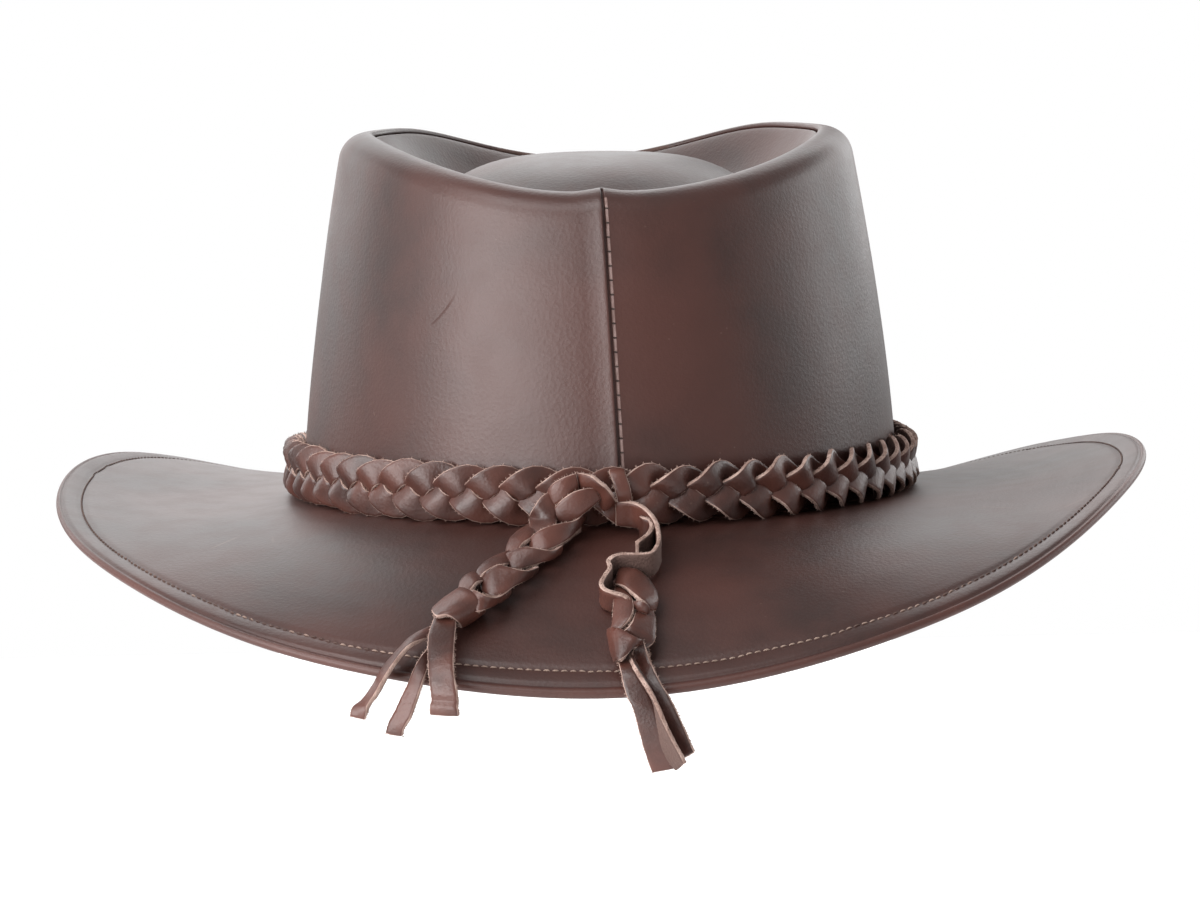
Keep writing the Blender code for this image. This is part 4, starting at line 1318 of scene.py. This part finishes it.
# %% [markdown]
# ## The right tie
# Here one lace first stands on its edge and runs in a wide loop, so that its raw cut faces the
# viewer, and then the braid goes on down to its own end knot. A short end is tucked inside the loop.

# %% Lay the right tie
RIGHT_LACES = {
    "right_fall": [
        (1.1, 124.9, -4.9, -4.1, 125.3, -4.9), (3.1, 133.4, -9.5, -2.5, 133.9, -9.6),
        (4.1, 141.9, -14.6, -1.9, 142.4, -14.6), (3.6, 149.5, -19.7, -2.8, 150.1, -19.8),
        (3.2, 155.8, -24.5, -3.3, 155.8, -24.1), (2.5, 160.1, -28.1, -4.0, 159.3, -26.9),
    ],
    "right_lobe_1": [
        (2.1, 133.2, -7.3, 3.4, 138.8, -11.1), (-1.1, 135.7, -7.4, 1.8, 143.7, -11.1),
        (-3.7, 137.3, -8.8, 0.0, 147.9, -12.3), (-5.8, 140.5, -11.2, -1.7, 150.0, -13.7),
        (-6.9, 143.9, -13.9, -3.3, 149.8, -14.9), (-5.8, 147.1, -17.2, -3.8, 148.9, -16.7),
    ],
    "right_middle": [
        (1.1, 139.6, -12.1, 3.6, 138.9, -12.4), (-0.1, 148.9, -13.8, 4.3, 145.6, -13.6),
        (-0.2, 153.7, -16.0, 4.8, 150.4, -16.3), (1.0, 156.5, -18.2, 5.2, 153.6, -18.7),
        (3.1, 156.8, -20.4, 5.6, 154.7, -20.8), (4.5, 155.5, -22.6, 6.3, 154.6, -22.7),
    ],
    "right_curl": [
        (-0.5, 150.5, -14.3, -0.7, 151.1, -16.6), (-2.0, 152.7, -13.6, -2.0, 152.5, -16.3),
        (-3.4, 152.8, -14.5, -3.2, 152.4, -16.8), (-3.7, 150.1, -16.3, -3.3, 151.2, -17.8),
    ],
    "right_lobe_2": [
        (-1.4, 146.8, -15.9, -5.4, 146.8, -17.0), (-0.3, 153.6, -17.2, -5.7, 152.3, -19.1),
        (0.9, 158.0, -18.9, -5.3, 156.9, -21.9), (2.3, 158.9, -20.1, -4.5, 159.5, -24.1),
        (5.0, 155.6, -22.1, -1.2, 159.6, -25.7),
    ],
    "right_wrap": [
        (4.9, 150.4, -21.6, 4.2, 157.9, -27.6), (6.4, 154.5, -20.7, 5.2, 162.9, -27.6),
        (4.7, 159.3, -19.7, 4.4, 167.1, -27.2), (2.1, 162.1, -20.8, 2.4, 166.5, -25.7),
        (-0.2, 163.7, -22.0, 0.8, 164.2, -23.8), (-1.5, 161.0, -22.9, -1.3, 160.9, -23.5),
    ],
}
STANDING_LACES = {
    "right_loop": [
        (1.7, 110.5, 8.4, 1.6, 108.1, 1.4), (-0.4, 111.0, 8.0, -0.4, 108.5, 1.0),
        (-2.7, 111.5, 7.8, -2.8, 109.0, 0.9), (-5.0, 113.5, 7.0, -5.0, 110.9, 0.1),
        (-6.9, 116.5, 5.5, -6.9, 113.8, -1.4), (-8.2, 120.7, 3.7, -8.2, 117.8, -3.1),
        (-8.6, 125.7, 1.6, -8.7, 122.5, -5.1), (-8.3, 130.7, -0.7, -8.4, 127.3, -7.2),
        (-6.3, 135.0, -2.9, -6.5, 131.4, -9.3), (-2.8, 135.6, -3.3, -3.0, 131.9, -9.7),
        (0.7, 135.4, -3.2, 0.5, 131.7, -9.6), (3.6, 135.5, -3.6, 3.3, 131.8, -10.0),
        (5.3, 137.0, -4.7, 5.0, 133.2, -11.1),
    ],
    "right_turn": [
        (3.6, 135.5, -3.6, 3.3, 131.8, -10.0), (5.3, 137.0, -4.7, 5.0, 133.2, -11.1),
        (5.0, 139.2, -6.2, 4.7, 135.3, -12.5), (6.3, 141.4, -7.8, 5.9, 137.4, -14.0),
        (7.6, 143.8, -9.6, 7.2, 139.7, -15.7), (7.0, 146.1, -11.0, 6.7, 141.8, -17.0),
        (4.1, 147.8, -12.0, 3.8, 143.5, -18.0), (1.7, 148.8, -12.7, 1.3, 144.4, -18.7),
        (0.0, 151.0, -14.7, -0.4, 146.5, -20.6),
    ],
    "right_tucked_end": [
        (-4.9, 113.0, 4.2, -4.9, 110.5, -2.7), (-5.4, 116.9, 4.1, -5.5, 114.2, -2.8),
        (-6.8, 118.0, 3.7, -6.8, 115.2, -3.2), (-7.3, 120.9, 2.5, -7.3, 117.9, -4.3),
        (-6.3, 124.4, 1.1, -6.4, 121.3, -5.7), (-4.8, 126.1, 0.1, -4.9, 122.9, -6.6),
        (-2.8, 128.1, -1.1, -2.9, 124.8, -7.7),
    ],
}
HAIR_SIDES = {
    "right_loop": (0.0, -1.0, 0.0),
    "right_turn": (0.3, 1.0, 0.0),
    "right_tucked_end": (1.0, 0.3, 0.0),
}
for name, rows in RIGHT_LACES.items():
    ribbon(name, rows, "tie_right")
for name, rows in STANDING_LACES.items():
    ribbon(name, rows, "tie_right", arch=0.0, hair_side=HAIR_SIDES[name])

# %% [markdown]
# ## Free ends
# Three ends hang from each end knot, over the brim's edge. They were cut with shears, so they end
# square or aslant, and one of them keeps a crease near its tip.

# %% Lay the free ends
FREE_ENDS = {
    "strip_left_a": [
        (50.0, 143.6, -19.3, 50.6, 147.1, -21.7), (52.4, 147.5, -19.9, 52.9, 151.0, -22.4),
        (56.7, 150.0, -22.0, 57.1, 156.0, -23.4), (60.4, 153.0, -24.9, 60.1, 159.0, -25.7),
        (64.4, 155.5, -29.3, 63.7, 162.0, -30.2), (67.3, 157.0, -33.8, 66.4, 163.0, -34.7),
        (70.0, 158.5, -37.2, 68.5, 163.0, -37.7), (72.6, 160.0, -38.6, 69.0, 162.5, -39.6),
        (73.4, 160.5, -40.9, 69.6, 162.0, -41.6),
    ],
    "strip_left_b": [
        (51.3, 147.0, -21.1, 50.2, 149.8, -23.6), (53.1, 152.0, -24.4, 52.2, 152.5, -26.6),
        (55.8, 158.0, -27.5, 53.2, 158.5, -28.6), (57.9, 161.0, -31.8, 54.6, 163.0, -32.1),
        (60.7, 161.5, -37.5, 56.6, 164.0, -37.5), (62.0, 161.5, -40.0, 57.9, 164.5, -40.9),
        (63.5, 161.5, -42.8, 59.5, 164.0, -43.5), (64.4, 161.5, -45.4, 60.2, 163.5, -45.9),
    ],
    "strip_left_c": [
        (50.7, 145.2, -16.3, 45.8, 146.1, -16.3), (51.5, 148.3, -18.4, 45.6, 149.3, -18.4),
        (52.9, 155.2, -21.3, 46.2, 156.8, -22.0), (53.2, 161.5, -26.3, 46.7, 164.5, -26.4),
        (53.1, 165.5, -30.2, 46.6, 168.5, -30.4), (52.6, 167.5, -34.4, 46.0, 170.5, -34.5),
        (52.8, 168.0, -36.7, 46.1, 171.0, -36.8), (52.9, 168.3, -38.0, 45.9, 171.3, -38.2),
        (52.9, 168.1, -39.7, 45.7, 171.1, -39.8),
    ],
    "strip_right_a": [
        (3.1, 160.0, -26.2, 0.3, 160.2, -25.6), (4.5, 163.0, -27.5, 0.9, 164.0, -27.6),
        (4.1, 168.5, -30.4, -0.6, 169.5, -30.7), (3.0, 171.5, -35.6, -3.7, 173.0, -37.4),
        (1.5, 172.5, -38.3, -4.7, 174.0, -40.7), (0.1, 173.0, -43.8, -6.6, 174.5, -46.0),
        (-1.4, 173.0, -49.5, -8.2, 174.5, -50.4), (-3.3, 172.5, -55.3, -9.8, 174.0, -53.9),
    ],
    "strip_right_b": [
        (2.0, 162.0, -26.3, 1.4, 158.0, -26.5), (0.9, 170.5, -28.6, 0.2, 165.5, -28.7),
        (-1.3, 173.5, -32.0, -1.6, 168.0, -32.1), (-3.7, 176.5, -36.0, -3.6, 171.0, -36.6),
        (-5.8, 178.5, -41.0, -4.1, 173.2, -40.2), (-8.1, 179.5, -45.9, -5.2, 174.2, -46.0),
        (-10.2, 180.0, -49.9, -6.8, 175.0, -50.9), (-11.1, 180.2, -51.9, -9.3, 175.6, -54.3),
    ],
    "strip_right_c": [
        (0.6, 160.9, -24.9, -2.2, 160.2, -22.9), (0.3, 160.0, -28.8, -3.7, 163.0, -27.6),
        (-1.4, 166.2, -33.0, -5.8, 168.5, -32.5), (-3.2, 169.0, -36.4, -8.0, 171.0, -36.1),
        (-4.6, 170.5, -39.3, -9.4, 172.0, -38.8), (-7.1, 171.5, -44.2, -11.7, 173.0, -44.2),
        (-10.0, 172.0, -49.5, -13.5, 173.5, -48.7), (-11.5, 172.4, -51.8, -14.1, 173.6, -50.1),
    ],
}
END_ARCH = 0.0002
CREASES = {"strip_left_c": 0.9}   # share of the end's length
for name, rows in FREE_ENDS.items():
    tie = "tie_left" if "left" in name else "tie_right"
    ribbon(name, rows, tie, arch=END_ARCH, crease=CREASES.get(name))

# %% [markdown]
# ## Loose fibres
# The raw cuts are fuzzy: short pale fibres stand out of them. One fibre is a thin three-sided cone,
# stamped at chance places along every cut.

# %% Add the loose fibres
FIBRE_LENGTH = 0.0008
FIBRE_HALF = 0.00013
FIBRE_EVERY = 0.0006
FIBRE_SCATTER = 0.55            # chance in its direction
FIBRE_OUT = 0.4                 # share of its length by which its middle stands out of the cut
FIBRE_SEED = 31

chance = np.random.default_rng(FIBRE_SEED)
roots, ways = [], []
for spots, outward in CUT_LINES:
    length = np.sum(np.linalg.norm(np.diff(spots, axis=0), axis=1))
    chosen = chance.integers(0, len(spots), round(length / FIBRE_EVERY))
    roots.append(spots[chosen])
    ways.append(unit(outward[chosen] + chance.normal(scale=FIBRE_SCATTER, size=(len(chosen), 3))))
roots, ways = np.vstack(roots), np.vstack(ways)
deselect()
bpy.ops.mesh.primitive_cone_add(vertices=3, radius1=FIBRE_HALF, depth=FIBRE_LENGTH,
                                location=(FIBRE_LENGTH * FIBRE_OUT, 0.0, 0.0),
                                rotation=(0.0, math.radians(90), 0.0))
fibre = bpy.context.object
bpy.ops.object.transform_apply(location=True, rotation=True)
fibre_model = (np.array([v.co for v in fibre.data.vertices]),
               [tuple(p.vertices) for p in fibre.data.polygons])
bpy.data.objects.remove(fibre)
over = unit(np.cross(ways, unit(chance.normal(size=ways.shape))))
lace_fuzz = stamp("lace_fuzz", fibre_model, roots, ways, over)
lace_fuzz.data.materials.append(raw_edge)
hand_over(lace_fuzz, "lace_leather")

# %% [markdown]
# ## Flesh sides
# Inside, the crown shows the hide's flesh side, and so does the brim underneath, up to the row of
# stitches; there the rolled edge has brought the hair side round.

# %% Give the inner faces their finish
FACES_IN = -0.3
FACES_DOWN = -0.2
INSIDE_TOP_Z = 0.096            # the shoulder's turned lip above this shows its hair side

middles, normals = faces_of(crown_side)
outward = unit(middles[:, :2] / (FOOT_HALF_WIDTH ** 2, FOOT_HALF_DEPTH ** 2))
inner = np.sum(normals[:, :2] * outward, axis=1) < FACES_IN
paint_faces(crown_side, inner & (middles[:, 2] < INSIDE_TOP_Z))
# The strip right of the seam's crack takes the pale finish: a cut edge, partly a painted highlight.
paint_faces(crown_side, np.array([seam_strip_mask[list(p.vertices)].all() for p in crown_side.data.polygons]), 2)
middles, normals = faces_of(crown_top)
paint_faces(crown_top, normals[:, 2] < FACES_DOWN)
middles, normals = faces_of(brim)
share_out = oval_share(middles)
stitch_share = oval_share(fine_stitch_line[nearest_on(stitch_finder, middles)[0]])
roll_share = oval_share(fine_roll_line[nearest_on(roll_finder, middles)[0]])
paint_faces(brim, (normals[:, 2] < FACES_DOWN) & (share_out < stitch_share))
# Beyond the roll's crease the brim takes the rolled edge's warmer, lighter finish, a painted highlight
# along the roll.
paint_faces(brim, share_out > roll_share, 2)
